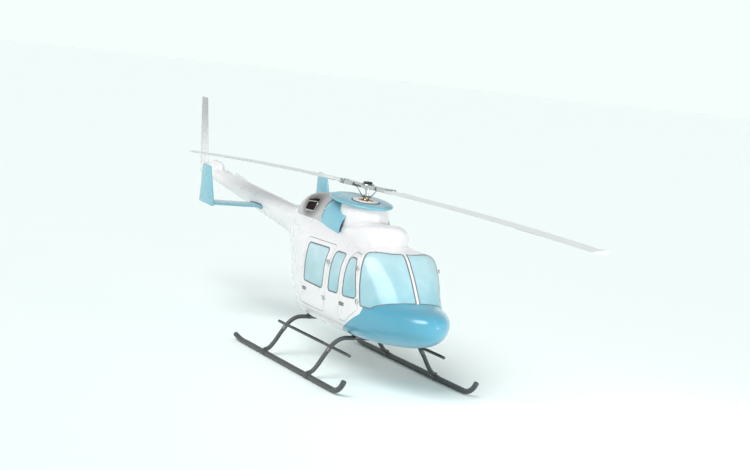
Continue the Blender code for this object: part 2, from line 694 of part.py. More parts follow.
def build_pylon(paint, blue, metal, steel, body_clear):
    """Roof fairing, transmission drum and its cap, intake, engine cowling and the masses."""
    deck_source = deck_solid("deck_outer")
    deck_inner = deck_solid("deck_inner", 0.03)
    deck_clear = deck_solid("deck_clear", -SEAM)
    panel("roof_fairing", deck_source, paint, remove=[deck_inner, body_clear])

    def drum_rings(grow, low, high=None):
        rows = [(low, DRUM_FLARE, 0.0), (2.33, 0.7 * DRUM_FLARE, 0.4),
                (2.41, 0.2 * DRUM_FLARE, 0.8), (DRUM_TOP - SEAM, -0.010, 1.0)]
        if high:
            rows.append((high, -0.010, 1.0))
        return [oval(DRUM_CENTRE, DRUM_HALF, z, -flare - grow, slope=share * CAP_SLOPE)
                for z, flare, share in rows]

    drum_source = new_object("drum_outer", loft(drum_rings(0.0, 2.05)))
    drum_inner = new_object("drum_inner", loft(drum_rings(-COWL_WALL, 2.04, 2.60)))
    drum_clear = new_object("drum_clear", loft(drum_rings(COWL_MARGIN, 2.04, 2.60)))
    panel("transmission_cowling", drum_source, paint,
          remove=[drum_inner, deck_clear, body_clear])

    def cap_rings(steps, grow=0.0):
        return [oval(CAP_CENTRE, CAP_HALF, z, inset - grow, 32, CAP_SLOPE) for z, inset in steps]

    cap_steps = [(DRUM_TOP, 0.030), (DRUM_TOP + 0.012, 0.004), (DRUM_TOP + 0.026, 0.0),
                 (CAP_TOP - 0.014, 0.012), (CAP_TOP - 0.003, 0.050), (CAP_TOP, 0.120)]
    cap_source = new_object("cap_outer", loft(cap_rings(cap_steps)))
    cap_clear = new_object("cap_clear", loft(cap_rings(
        [(DRUM_TOP - COWL_MARGIN, 0.030)] + cap_steps + [(CAP_TOP + 0.1, 0.120)],
        COWL_MARGIN)))
    mast_hole = new_object("mast_hole", cylinder((0, 0), MAST_HOLE, 2.2, 2.9, 20))
    panel("cowling_cap", cap_source, blue, remove=[mast_hole])
    collar_steps = [(SEAM, 0.0), (0.012, 0.0), (0.020, 0.010)]
    collar_source = new_object("collar_source", loft(
        [oval(0, (COLLAR_R, COLLAR_R), CAP_TOP + z, inset, 28, CAP_SLOPE)
         for z, inset in collar_steps]))
    panel("mast_collar", collar_source, paint, remove=[mast_hole])

    intake = cowl_solid("intake_outer", INTAKE_ROWS)
    intake_inner = cowl_solid("intake_inner", INTAKE_ROWS, COWL_WALL, 0.05, 0.05)
    panel("intake_cowling", intake, blue,
          remove=[intake_inner, drum_clear, cap_clear, deck_clear, body_clear])

    engine_rows = [(COWL_SPLIT + SEAM, *ENGINE_ROWS[0][1:])] + ENGINE_ROWS[1:]
    engine = cowl_solid("engine_outer", engine_rows)
    engine_inner = cowl_solid("engine_inner", engine_rows, COWL_WALL, 0.05)
    vents = []
    for side in (1, -1):
        vents.append(new_object("vent_%+d" % side, side_prism(
            rounded(VENT_SIDE, VENT_CORNER), side, inner_x=VENT_INNER_X)))
    panel("engine_cowling", engine, metal, remove=[engine_inner, deck_clear, body_clear] + vents)

    gear_source = new_object("gearbox_source", cylinder((0, 0), BLOCK_R, 2.10, BLOCK_TOP, 20))
    panel("transmission_block", gear_source, steel, remove=[deck_clear, body_clear])
    turbine_source = new_object("turbine_source", box(*ENGINE_BLOCK))
    panel("engine_block", turbine_source, steel, remove=[deck_clear, body_clear])


def blade_section(chord, thick, count=12):
    """Blade profile, leading edge first, as (along the chord, up) about the quarter chord."""
    points = []
    for k in range(count):
        turn = 2 * math.pi * k / count
        along = 0.5 * (1 - math.cos(turn))
        half = thick * 0.5 * (2.6 * math.sqrt(along) * (1 - along) + 0.10 * along)
        points.append((chord * (0.25 - along), half if turn <= math.pi else -half))
    return points


def build_main_rotor(white, steel, black):
    """Mast, yoke with its grips, two blades and the cap, all on one axis."""
    axis = bpy.data.objects.new("main_rotor_axis", None)
    bpy.context.scene.collection.objects.link(axis)
    length, width, thick = YOKE_HALF
    mast = new_object("rotor_mast", cylinder((0, 0), MAST_R, BLOCK_TOP + SEAM,
                                             HUB_Z - thick - SEAM, 16), steel)
    outline = rounded([(-length, -width), (length, -width), (length, width), (-length, width)],
                      0.05)
    yoke = new_object("rotor_hub", loft([[Vector((x, y, z)) for x, y in outline]
                                         for z in (HUB_Z - thick, HUB_Z + thick)]), steel)
    centre = new_object("hub_centre", cylinder((0, 0), HUB_R, HUB_Z - thick,
                                               HUB_Z + thick + HUB_BOSS, 20))
    cut(yoke, centre, operation="UNION")
    pieces = [mast, yoke, centre]
    for end in (1, -1):
        low, high = sorted((end * SLOT_START, end * 2.0))
        slot = new_object("grip_slot_%+d" % end, box((low, -0.3, HUB_Z - SLOT_HALF),
                                                     (high, 0.3, HUB_Z + SLOT_HALF)))
        cut(yoke, slot)
        pieces.append(slot)
    for direction, label in ((1, "forward"), (-1, "aft")):
        rings = []
        for share in BLADE_SHARES:
            span = BLADE_START + share * (ROTOR_R - BLADE_START)
            reach = max(0.0, (span - BLADE_DROOP_START) / (ROTOR_R - BLADE_DROOP_START))
            level = HUB_Z - BLADE_DROOP * reach ** 2
            chord = BLADE_CHORD if share > 0.03 else 0.12 + share * 2
            section = blade_section(chord, BLADE_THICK * (1.0 if share < 0.99 else 0.7))
            rings.append([Vector((direction * span, direction * a, level + h))
                          for a, h in section])
        pieces.append(new_object("main_blade_" + label, loft(rings), white))
    pieces.append(new_object("mast_cap", loft(
        [oval(0, (r, r), HUB_Z + z, 0.0, 16) for z, r in CAP_STEPS]), black))
    turn = Matrix.Rotation(-PARK_ANGLE, 4, "Z")
    for piece in pieces:
        piece.data.transform(turn)
        piece.parent = axis


def boom_centre(y):
    share = (y - BOOM_FRONT) / (BOOM_REAR - BOOM_FRONT)
    return (BOOM_FRONT_Z + share * (BOOM_REAR_Z - BOOM_FRONT_Z),
            BOOM_FRONT_R + share * (BOOM_REAR_R - BOOM_FRONT_R))


def boom_ring(y, inset, sides=24):
    middle, radius = boom_centre(y)
    turns = [2 * math.pi * (k + 0.5) / sides for k in range(sides)]
    return [Vector(((radius - inset) * math.cos(t), y, middle + (radius - inset) * math.sin(t)))
            for t in turns]


def wing_section(chord, thick, rear, level, x, count=12):
    """Stabiliser profile in the side plane at a span position."""
    return [Vector((x, rear - 0.75 * chord - a, level + h))
            for a, h in blade_section(chord, thick, count)]


def build_tail(paint, blue, steel, blade):
    """Boom, stabiliser with its end plates, tail cone, fin, gearbox fairing and tail rotor."""
    def stab_rings(grow):
        return [wing_section(STAB_CHORD + 2 * grow, STAB_THICK + 3 * grow, STAB_REAR + grow,
                             STAB_Z, x + math.copysign(grow, x))
                for x in (-STAB_HALF_SPAN, -0.3, 0.3, STAB_HALF_SPAN)]

    new_object("horizontal_stabilizer", loft(stab_rings(0.0)), blue)
    stab_clear = new_object("stab_clear", loft(stab_rings(0.0012)))
    boom = new_object("tail_boom", loft([boom_ring(y, 0.0) for y in BOOM_STATIONS]), paint)
    bore = new_object("boom_bore", loft([boom_ring(y, BOOM_WALL) for y in
                                         (BOOM_FRONT - 0.05, 3.9, BOOM_REAR - 0.06)]))
    cut(boom, bore, stab_clear)
    boom_clear = new_object("boom_clear", loft([boom_ring(y, -SEAM) for y in BOOM_STATIONS]))

    for side, label in ((1, "left"), (-1, "right")):
        outline = [(STAB_REAR - ahead, z) for ahead, z in PLATE_CORNERS]
        low, high = STAB_HALF_SPAN + SEAM, STAB_HALF_SPAN + PLATE_THICK
        mid = 0.5 * (low + high)
        rings = [[Vector((side * x, y, z)) for y, z in rounded(grown(outline, -trim), 0.03)]
                 for x, trim in ((low, 0.006), (mid, 0.0), (high, 0.006))]
        new_object("end_plate_" + label, loft(rings), blue)

    rings = []
    clear = []
    for y, half, tall, middle in CONE_ROWS:
        turns = [2 * math.pi * (k + 0.5) / 20 for k in range(20)]
        rings.append([Vector((half * math.cos(t), y, middle + tall * math.sin(t)))
                      for t in turns])
        clear.append([Vector(((half + SEAM) * math.cos(t), y if clear else y - 0.01,
                              middle + (tall + SEAM) * math.sin(t))) for t in turns])
    new_object("tail_cone", loft(rings, True), paint)
    cone_clear = new_object("cone_clear", loft(clear, True))

    fin_rings = []
    front_low, front_high, rear_high, rear_low = FIN_CORNERS
    for share in (0.0, 0.35, 0.7, 1.0):
        front = [a + share * (b - a) for a, b in zip(front_low, front_high)]
        rear = [a + share * (b - a) for a, b in zip(rear_low, rear_high)]
        ring = []
        for a, h in blade_section(1.0, FIN_THICK - 0.028 * share, 14):
            along = 0.25 - a
            ring.append(Vector((h, front[0] + along * (rear[0] - front[0]),
                                front[1] + along * (rear[1] - front[1]))))
        fin_rings.append(ring)
    fin_source = new_object("fin_source", loft(fin_rings))
    panel("vertical_fin", fin_source, paint, remove=[cone_clear, boom_clear])

    rings = []
    for y, half, crown in BUMP_ROWS:
        ring = [Vector((half, y, BUMP_FOOT))]
        spring = BUMP_FOOT + 0.02
        for j in range(13):
            turn = math.pi * j / 12
            ring.append(Vector((half * math.cos(turn), y,
                                spring + (crown - spring) * math.sin(turn))))
        ring.append(Vector((-half, y, BUMP_FOOT)))
        rings.append(ring)
    bump_source = new_object("bump_source", loft(rings))
    panel("tail_gearbox_fairing", bump_source, paint, remove=[boom_clear])

    hub_x, hub_y, hub_z = TAIL_HUB
    shaft_start = boom_centre(hub_y)[1] - 0.012
    sleeve_source = new_object("sleeve_source", cylinder(
        TAIL_HUB[1:], SLEEVE_R, shaft_start, SLEEVE_END, 16, "X"))
    panel("tail_rotor_sleeve", sleeve_source, steel, remove=[boom_clear])
    axis = bpy.data.objects.new("tail_rotor_axis", None)
    axis.location = TAIL_HUB
    bpy.context.scene.collection.objects.link(axis)
    hub = new_object("tail_rotor_hub", cylinder(
        TAIL_HUB[1:], TAIL_SHAFT_R, SLEEVE_END + SEAM, hub_x + 0.045, 16, "X"), steel)
    half = TAIL_BAR_HALF
    bar = new_object("tail_hub_bar", box((hub_x - half[0], hub_y - half[1], hub_z - half[2]),
                                         (hub_x + half[0], hub_y + half[1], hub_z + half[2])))
    cut(hub, bar, operation="UNION")
    pieces = [hub, bar]
    for direction, label in ((-1, "a"), (1, "b")):
        rings = []
        root = half[1] + SEAM
        for share, width in TAIL_BLADE_STEPS:
            span = root + share * (TAIL_ROTOR_R - root)
            rings.append([Vector((hub_x + h, hub_y + direction * span, hub_z + direction * a))
                          for a, h in blade_section(TAIL_CHORD * width, TAIL_THICK)])
        pieces.append(new_object("tail_blade_" + label, loft(rings), blade))
    for piece in pieces:
        hang(piece, axis)
    axis.rotation_euler = (TAIL_PARK_ANGLE, 0, 0)


def skid_path(x):
    """Skid tube: a slight kick at the heel, level, then a curl up at the toe."""
    points = [(x, SKID_REAR, SKID_Z + 0.035), (x, 1.55, SKID_Z), (x, 1.30, SKID_Z)]
    path = through(points, 3)[:-1]
    path += [Vector((x, y, SKID_Z)) for y in (1.30, 0.2, -1.0, SKID_TOE)]
    curl, turn_end = TOE_CURL
    for k in range(1, 7):
        turn = turn_end * k / 6
        path.append(Vector((x, SKID_TOE - curl * math.sin(turn),
                            SKID_Z + curl * (1 - math.cos(turn)))))
    return path


def crosstube_path(y):
    """Bent tube across the machine, from one skid to the other."""
    port = through([(x, y, z) for x, z in CROSSTUBE_SIDE], 2)
    starboard = [Vector((-p.x, p.y, p.z)) for p in reversed(port[1:])]
    return starboard + port


def build_gear(dark, steel, body_clear):
    """Two bent crosstubes, two skids with wear shoes, two steps and the belly saddles."""
    skid_tools, tube_tools = [], []
    for side, label in ((1, "left"), (-1, "right")):
        path = skid_path(side * SKID_X)
        new_object("skid_" + label, tube(path, SKID_R), dark)
        skid_tools.append(new_object("skid_clear_" + label, tube(path, SKID_R, 12, SEAM)))
        low = (side * SKID_X - SHOE_HALF, SHOE_SPAN[0], 0.0)
        high = (side * SKID_X + SHOE_HALF, SHOE_SPAN[1], SHOE_THICK)
        new_object("skid_shoe_" + label, box(low, high), steel)
    for place, y in CROSSTUBE_STATIONS.items():
        path = crosstube_path(y)
        bar = new_object(place + "_crosstube", tube(path, CROSSTUBE_R, 10), dark)
        cut(bar, *skid_tools)
        tube_tools.append(new_object(place + "_tube_clear", tube(path, CROSSTUBE_R, 10, SEAM)))
        half, reach = SADDLE_HALF
        block = new_object(place + "_saddle_source", box(
            (-half, y - reach, CROSSTUBE_Z + 0.005), (half, y + reach, 1.0)))
        panel(place + "_crosstube_saddle", block, steel, remove=[body_clear, tube_tools[-1]])
    for side, label in ((1, "left"), (-1, "right")):
        path = [Vector((side * STEP_X, y, STEP_Z)) for y in STEP_STATIONS]
        bar = new_object("step_" + label, tube(path, STEP_R), dark)
        cut(bar, *tube_tools)
    plate = new_object("hardpoint_source", box(*HARDPOINT))
    panel("belly_hardpoint", plate, steel, remove=[body_clear])


def clear_scene():
    for obj in list(bpy.data.objects):
        bpy.data.objects.remove(obj, do_unlink=True)


def main():
    clear_scene()
    paint = material("paint_white", (0.90, 0.88, 0.89), 0.25)
    blue = material("paint_blue", (0.07, 0.33, 0.47), 0.22)
    light_blue = material("paint_light_blue", (0.20, 0.52, 0.62), 0.28)
    metal = material("cowl_metal", (0.55, 0.53, 0.53), 0.35, 0.6)
    glass = material("glass", (0.42, 0.70, 0.76), 0.06, 0.0, 0.5)
    dark = material("gear_paint", (0.05, 0.055, 0.055), 0.45)
    steel = material("steel", (0.55, 0.56, 0.57), 0.35, 0.9)
    blade = material("blade_paint", (0.74, 0.77, 0.76), 0.4)
    cloth = material("seat_cloth", (0.20, 0.24, 0.28), 0.85)
    trim = material("cabin_trim", (0.35, 0.37, 0.39), 0.7)
    black = material("black_plastic", (0.03, 0.03, 0.03), 0.5)

    body_clear = build_cabin(paint, blue, glass, trim)
    build_interior(cloth, trim, black)
    build_pylon(paint, light_blue, metal, steel, body_clear)
    build_main_rotor(blade, steel, black)
    build_tail(paint, light_blue, steel, blade)
    build_gear(dark, steel, body_clear)
    for obj in bpy.data.objects:
        if obj.parent is None:
            obj.location.y -= ORIGIN_AFT_OF_MAST


main()
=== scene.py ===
"""Looks of the light helicopter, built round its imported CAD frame.

Lengths are in metres. Shapes are worked out with y measured aft from the mast, as the CAD is drawn,
and keep() moves each finished piece into the frame's own axes.
"""
import json
import math

import bmesh
import bpy
import numpy as np
from mathutils import Matrix, Vector
from mathutils.bvhtree import BVHTree

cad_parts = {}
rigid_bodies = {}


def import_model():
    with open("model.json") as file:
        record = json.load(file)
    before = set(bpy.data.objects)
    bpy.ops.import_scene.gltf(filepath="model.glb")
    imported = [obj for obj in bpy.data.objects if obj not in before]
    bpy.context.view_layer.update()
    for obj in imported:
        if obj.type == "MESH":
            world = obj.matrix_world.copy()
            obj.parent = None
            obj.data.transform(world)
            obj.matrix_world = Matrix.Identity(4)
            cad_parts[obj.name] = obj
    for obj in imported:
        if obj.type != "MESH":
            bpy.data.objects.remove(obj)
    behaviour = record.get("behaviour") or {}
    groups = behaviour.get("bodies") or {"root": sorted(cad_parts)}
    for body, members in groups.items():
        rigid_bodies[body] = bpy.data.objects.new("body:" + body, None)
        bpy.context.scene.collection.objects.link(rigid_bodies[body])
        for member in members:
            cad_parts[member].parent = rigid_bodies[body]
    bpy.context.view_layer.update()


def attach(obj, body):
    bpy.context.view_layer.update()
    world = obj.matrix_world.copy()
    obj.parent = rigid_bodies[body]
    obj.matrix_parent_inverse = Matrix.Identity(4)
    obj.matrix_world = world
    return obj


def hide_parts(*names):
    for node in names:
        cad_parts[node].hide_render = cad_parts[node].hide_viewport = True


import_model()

MAST_AFT = 0.988                # the mast stands this far ahead of the frame's origin

# Shape numbers, most of them shared with the CAD
SKIN = 0.035
SEAM = 0.0003
GLASS = 0.008
GLASS_DROP = 0.002
BODY_ROWS = [
    (-2.540, 0.015, 1.105, 1.120, 1.135, 2.0, 2.0),
    (-2.500, 0.180, 0.975, 1.115, 1.212, 2.0, 2.0),
    (-2.390, 0.345, 0.872, 1.110, 1.270, 2.0, 2.1),
    (-2.200, 0.498, 0.782, 1.110, 1.310, 2.1, 2.2),
    (-1.950, 0.606, 0.715, 1.125, 1.340, 2.2, 2.4),
    (-1.930, 0.612, 0.711, 1.130, 1.346, 2.2, 2.4),
    (-1.900, 0.624, 0.706, 1.135, 1.385, 2.6, 2.5),
    (-1.640, 0.680, 0.678, 1.200, 1.715, 4.4, 3.2),
    (-1.375, 0.692, 0.664, 1.260, 1.950, 5.0, 3.8),
    (-1.200, 0.692, 0.660, 1.290, 1.985, 4.0, 4.2),
    (-0.900, 0.696, 0.658, 1.320, 2.018, 3.0, 4.6),
    (-0.400, 0.700, 0.657, 1.350, 2.065, 2.8, 4.8),
    (0.200, 0.692, 0.657, 1.360, 2.140, 3.2, 4.8),
    (0.620, 0.662, 0.664, 1.400, 2.185, 3.4, 4.4),
    (1.000, 0.588, 0.800, 1.480, 2.200, 3.4, 3.4),
    (1.350, 0.486, 1.080, 1.600, 2.202, 3.2, 2.8),
    (1.700, 0.370, 1.410, 1.750, 2.185, 2.7, 2.3),
    (2.000, 0.270, 1.600, 1.850, 2.135, 2.2, 2.0),
    (2.250, 0.224, 1.656, 1.880, 2.104, 2.0, 2.0),
]
BOW_ROWS = [(-2.50, 0.34), (-1.93, 0.34), (-1.50, 0.23), (-1.10, 0.08), (-0.80, 0.0), (2.3, 0.0)]
BOW_WIDTH = 0.62
WINDSHIELD_BASE = -1.93
CABIN_REAR = 0.62
BODY_REAR = 2.25
SILL_Z = 0.84
CHIN_CORNER = (-1.50, 1.20)
CHIN_KNEE = (-1.44, 1.085)
CHIN_TAIL = (-0.62, 0.593)
POST_HALF = 0.028
WINDSHIELD_LEAN = 0.28
CREW_DOOR = [(-1.390, 1.14), (-1.06, 0.90), (-0.845, 0.90), (-0.845, 1.89), (-1.190, 1.89)]
CREW_WINDOW = [(-1.332, 1.28), (-0.92, 1.25), (-0.90, 1.82), (-1.162, 1.825)]
MID_WINDOW = [(-0.780, 1.25), (-0.46, 1.24), (-0.44, 1.825), (-0.745, 1.83)]
PASSENGER_DOOR = [(-0.370, 0.90), (0.500, 0.90), (0.500, 1.89), (-0.370, 1.89)]
PASSENGER_WINDOW = [(-0.270, 1.23), (0.400, 1.24), (0.430, 1.50), (0.400, 1.82), (-0.245, 1.83)]
WINDOW_CORNER = 0.055
DOOR_CORNER = 0.06
CREW_TAPERS = (27.0, 22.0)
PASSENGER_TAPERS = (14.0, 11.0)
TAPER_X = 0.70
TAPER_REACH = 0.25
DOOR_GAP = 0.007
CREW_HINGE = ((0.698, -1.370, 1.225), (0.676, -1.233, 1.745))
PASSENGER_HINGE = ((0.716, -0.374, 1.08), (0.716, -0.374, 1.68))
CREW_REACH = (0.028, 0.034)
PASSENGER_REACH = (0.045, 0.075)
KNUCKLE_R = 0.009
KNUCKLE_TALL = 0.030

DECK_CENTRE = -0.55
DECK_HALF_WIDTH = 0.42
DECK_NOSE = 0.49
DECK_TAIL = 1.18
DECK_TOP = 2.265
DECK_FALL = 0.110
DECK_FOOT = 1.80
DECK_STEPS = [(0.0, 0.0), (0.60, 0.0), (0.76, 0.025), (0.87, 0.08), (0.95, 0.17), (1.0, 0.30)]
DRUM_HALF = (0.345, 0.400)
DRUM_FLARE = 0.020
DRUM_TOP = 2.480
CAP_CENTRE = 0.14
CAP_HALF = (0.450, 0.600)
CAP_TOP = 2.532
CAP_SLOPE = math.tan(math.radians(4.5))
COWL_WALL = 0.020
COWL_FOOT = 1.95
COWL_SPLIT = 0.52
COWL_SQUARE = 2.7
INTAKE_ROWS = [(-0.08, 0.450, 2.420), (0.20, 0.462, 2.480), (0.52, 0.455, 2.520)]
ENGINE_ROWS = [(0.52, 0.455, 2.520), (0.90, 0.442, 2.525), (1.25, 0.400, 2.498),
               (1.55, 0.335, 2.432), (1.78, 0.255, 2.325), (1.94, 0.170, 2.185)]
VENT_SIDE = [(0.86, 2.24), (1.26, 2.22), (1.26, 2.40), (0.86, 2.42)]
VENT_CORNER = 0.03
VENT_INNER = 0.30
SCREEN_WIRE = 0.0025            # half the width of a bar of the intake screen
SCREEN_PITCH = 0.03
MAST_R = 0.027
MAST_HOLE = 0.040
HUB_Z = 2.755
COLLAR_R = 0.200
ROTOR_R = 5.0
PARK_ANGLE = math.radians(80.0)
BLADE_CHORD = 0.33
BLADE_THICK = 0.036
BLADE_DROOP = 0.12
BLADE_START = 0.503
TIP_LENGTH = 0.10

BOOM_FRONT = 2.2503
BOOM_REAR = 6.26
BOOM_FRONT_R = 0.2225
BOOM_REAR_R = 0.108
BOOM_FRONT_Z = 1.882
BOOM_REAR_Z = 2.232
STAB_REAR = 3.87
STAB_CHORD = 0.62
STAB_Z = 1.950
STAB_HALF_SPAN = 1.060
FIN_CORNERS = [(6.24, 2.20), (6.618, 3.50), (6.901, 3.50), (6.62, 2.10)]
FIN_THICK = 0.060
TAIL_HUB = (0.34, 6.00, 2.180)
TAIL_PARK_ANGLE = math.radians(7.0)
TAIL_ROTOR_R = 0.82
TAIL_CHORD = 0.13

SKID_X = 1.075
SKID_R = 0.040
SKID_Z = 0.0063 + SKID_R
SKID_REAR = 1.79
SKID_NOSE_Y = -1.70
SKID_NOSE_R = 0.36
SKID_NOSE_TURN = math.radians(62)
SHOE_HALF_WIDTH = 0.0105
SHOE_PITCH = 0.70
CROSSTUBE_R = 0.0325
CROSSTUBE_Z = 0.618
CROSSTUBE_STATIONS = {"front": -0.87, "aft": 0.67}
CROSSTUBE_SIDE = [(0.0, 0.618), (0.42, 0.618), (0.58, 0.605), (0.71, 0.525), (0.82, 0.375),
                  (0.92, 0.215), (1.00, 0.118), (1.075, 0.085)]
STEP_R = 0.022
STEP_X = 0.775
STEP_Z = 0.492

SEAT_X = 0.27
SEAT_HALF = 0.205
BELT_THICK = 0.0016

PORT, STARBOARD = 1, -1
LABEL = {PORT: "left", STARBOARD: "right"}


# Curves and solids
def smooth(rows, station, column=1):
    """Value of a column at a station, on a curve that never overshoots its rows."""
    xs = [row[0] for row in rows]
    ys = [row[column] for row in rows]
    if station <= xs[0]:
        return ys[0]
    if station >= xs[-1]:
        return ys[-1]
    i = max(k for k in range(len(xs) - 1) if xs[k] <= station)
    slopes = [(ys[k + 1] - ys[k]) / (xs[k + 1] - xs[k]) for k in range(len(xs) - 1)]

    def tangent(k):
        if k == 0:
            return slopes[0]
        if k == len(xs) - 1:
            return slopes[-1]
        before, after = slopes[k - 1], slopes[k]
        return 0.0 if before * after <= 0 else 2 * before * after / (before + after)

    width = xs[i + 1] - xs[i]
    t = (station - xs[i]) / width
    rise = ys[i + 1] - ys[i]
    a = tangent(i) * width - rise
    b = rise - tangent(i + 1) * width
    return ys[i] + rise * t + t * (1 - t) * (a * (1 - t) + b * t)


def power(value, exponent):
    return math.copysign(abs(value) ** exponent, value)


def spread(low, high, count):
    return [low + (high - low) * k / (count - 1) for k in range(count)]


def loft(rings, hoop=False):
    """Faces through rings of points, with flat end caps, or joined last to first as a hoop."""
    bm = bmesh.new()
    rows = [[bm.verts.new(p) for p in ring] for ring in rings]
    count = len(rows[0])
    for lower, upper in zip(rows, rows[1:] + rows[:1] if hoop else rows[1:]):
        for k in range(count):
            nxt = (k + 1) % count
            bm.faces.new((lower[k], lower[nxt], upper[nxt], upper[k]))
    if not hoop:
        bm.faces.new(rows[0])
        bm.faces.new(rows[-1])
    bmesh.ops.recalc_face_normals(bm, faces=bm.faces)
    return bm


def prism(outline, axis, levels):
    """Solid whose outline lies across axis 0, 1 or 2, between two levels along that axis."""
    return loft([[Vector((*p[:axis], level, *p[axis:])) for p in outline] for level in levels])


def box(low, high):
    corners = [(low[0], low[1]), (high[0], low[1]), (high[0], high[1]), (low[0], high[1])]
    return prism(corners, 2, (low[2], high[2]))


def bevelled(bm, edges, width, segments=3, profile=0.5):
    bmesh.ops.bevel(bm, geom=list(edges), offset=width, segments=segments, profile=profile,
                    affect="EDGES")
    return bm


def soft_box(low, high, edge, segments=3):
    """Box with rounded edges."""
    bm = box(low, high)
    return bevelled(bm, bm.edges, edge, segments)


def turns(count):
    """Angles evenly round a circle, from half a space on."""
    return [2 * math.pi * (k + 0.5) / count for k in range(count)]


def circle(centre, side, other, radius, sides):
    return [centre + radius * (side * math.cos(t) + other * math.sin(t)) for t in turns(sides)]


def turned(profile, origin, axis, sides=32):
    """Body of revolution: profile rows are (distance along the axis, radius)."""
    axis = Vector(axis).normalized()
    side = axis.orthogonal().normalized()
    other = axis.cross(side)
    origin = Vector(origin)
    return loft([circle(origin + axis * along, side, other, radius, sides)
                 for along, radius in profile])


def bolt(place, axis, radius, height):
    """Hexagonal bolt head on a washer."""
    axis = Vector(axis).normalized()
    bm = turned([(0, radius * 1.5), (height * 0.25, radius * 1.5)], place, axis, 14)
    merge(bm, turned([(height * 0.25, radius), (height * 0.9, radius), (height, radius * 0.8)],
                     place, axis, 6))
    return bm


def tube(path, radius, sides=24):
    """Round tube along a list of points; radius is one number, or one for each point."""
    rings = []
    side = Vector((1, 0, 0))
    for k, point in enumerate(path):
        ahead = path[min(k + 1, len(path) - 1)] - path[max(k - 1, 0)]
        ahead.normalize()
        if abs(ahead.dot(side)) > 0.9 and k == 0:
            side = Vector((0, 1, 0))
        side = (side - ahead * side.dot(ahead)).normalized()
        other = ahead.cross(side)
        r = radius[k] if isinstance(radius, (list, tuple)) else radius
        rings.append(circle(point, side, other, r, sides))
    return loft(rings)


def through(points, steps):
    """Smooth path through a few points, as Catmull-Rom arcs."""
    points = [Vector(p) for p in points]
    path = []
    for k in range(len(points) - 1):
        p0, p1 = points[max(k - 1, 0)], points[k]
        p2, p3 = points[k + 1], points[min(k + 2, len(points) - 1)]
        for j in range(steps):
            t = j / steps
            path.append(0.5 * (2 * p1 + (p2 - p0) * t + (2 * p0 - 5 * p1 + 4 * p2 - p3) * t * t
                               + (3 * p1 - p0 - 3 * p2 + p3) * t ** 3))
    path.append(points[-1])
    return path


def grown(outline, amount):
    """Convex outline with every edge moved outwards by an amount."""
    area = sum(a[0] * b[1] - b[0] * a[1] for a, b in zip(outline, outline[1:] + outline[:1]))
    turn = 1.0 if area > 0 else -1.0
    moved = []
    for k, corner in enumerate(outline):
        before, after = outline[k - 1], outline[(k + 1) % len(outline)]
        e1 = Vector((corner[0] - before[0], corner[1] - before[1])).normalized()
        e2 = Vector((after[0] - corner[0], after[1] - corner[1])).normalized()
        n1 = Vector((e1.y, -e1.x)) * turn
        n2 = Vector((e2.y, -e2.x)) * turn
        shift = (n1 + n2) * (amount / (1.0 + n1.dot(n2)))
        moved.append((corner[0] + shift.x, corner[1] + shift.y))
    return moved


def rounded(outline, radius, steps=8):
    """Convex outline with its corners cut by arcs."""
    points = []
    for k, corner in enumerate(outline):
        here = Vector(corner)
        before = (Vector(outline[k - 1]) - here).normalized()
        after = (Vector(outline[(k + 1) % len(outline)]) - here).normalized()
        half = 0.5 * before.angle(after)
        reach = radius / math.tan(half)
        middle = here + (before + after).normalized() * (radius / math.sin(half))
        start = here + before * reach - middle
        sweep = math.pi - 2 * half
        turn = 1.0 if before.x * after.y - before.y * after.x < 0 else -1.0
        for j in range(steps + 1):
            angle = turn * sweep * j / steps
            c, s = math.cos(angle), math.sin(angle)
            points.append(tuple(middle + Vector((c * start.x - s * start.y,
                                                 s * start.x + c * start.y))))
    return points


def side_prism(outline, taper=0.0, edge=0.0, inner_x=0.45):
    """Cutter through the port side; a taper draws its ends in near an edge, towards x = 0."""
    rings = []
    for x in (inner_x, 1.0):
        pull = math.tan(math.radians(taper)) * (TAPER_X - x)
        ring = []
        for y, z in outline:
            share = min(1.0, max(0.0, 1 - (edge - y) / TAPER_REACH))
            ring.append(Vector((x, y - pull * share, z)))
        rings.append(ring)
    return loft(rings)


def merge(bm, other):
    """Adds another mesh's faces to bm."""
    made = [bm.verts.new(v.co) for v in other.verts]
    other.verts.index_update()
    for face in other.faces:
        new = bm.faces.new([made[v.index] for v in face.verts])
        new.material_index = face.material_index
    other.free()
    return bm


def mirrored(bm):
    """Copy of a mesh on the other side of the machine."""
    copy = bm.copy()
    for v in copy.verts:
        v.co.x = -v.co.x
    bmesh.ops.reverse_faces(copy, faces=copy.faces)
    return copy


def placed(bm, name):
    """Puts a mesh into the scene as an object."""
    mesh = bpy.data.meshes.new(name)
    bm.to_mesh(mesh)
    bm.free()
    obj = bpy.data.objects.new(name, mesh)
    bpy.context.scene.collection.objects.link(obj)
    return obj


def tool(bm):
    """A mesh as an object for Boolean steps."""
    return placed(bm, "tool")


def bmesh_of(obj):
    bm = bmesh.new()
    bm.from_mesh(obj.data)
    return bm


def tree_of(obj):
    bm = bmesh_of(obj)
    bmesh.ops.triangulate(bm, faces=bm.faces)
    tree = BVHTree.FromBMesh(bm)
    bm.free()
    return tree


def carve(source, keep=(), remove=()):
    """Mesh of a source object, cut to what its keep tools share and less its remove tools."""
    obj = bpy.data.objects.new("carved", source.data.copy())
    bpy.context.scene.collection.objects.link(obj)
    for operation, tools in (("INTERSECT", keep), ("DIFFERENCE", remove)):
        for other in tools:
            step = obj.modifiers.new(operation, "BOOLEAN")
            step.operation = operation
            step.object = other
            step.solver = "MANIFOLD"
    bpy.context.view_layer.update()
    graph = bpy.context.evaluated_depsgraph_get()
    bm = bmesh.new()
    bm.from_object(obj, graph)
    bpy.data.objects.remove(obj)
    return bm


def clear_tools():
    for obj in [o for o in bpy.data.objects if o.name.startswith("tool")]:
        bpy.data.objects.remove(obj)


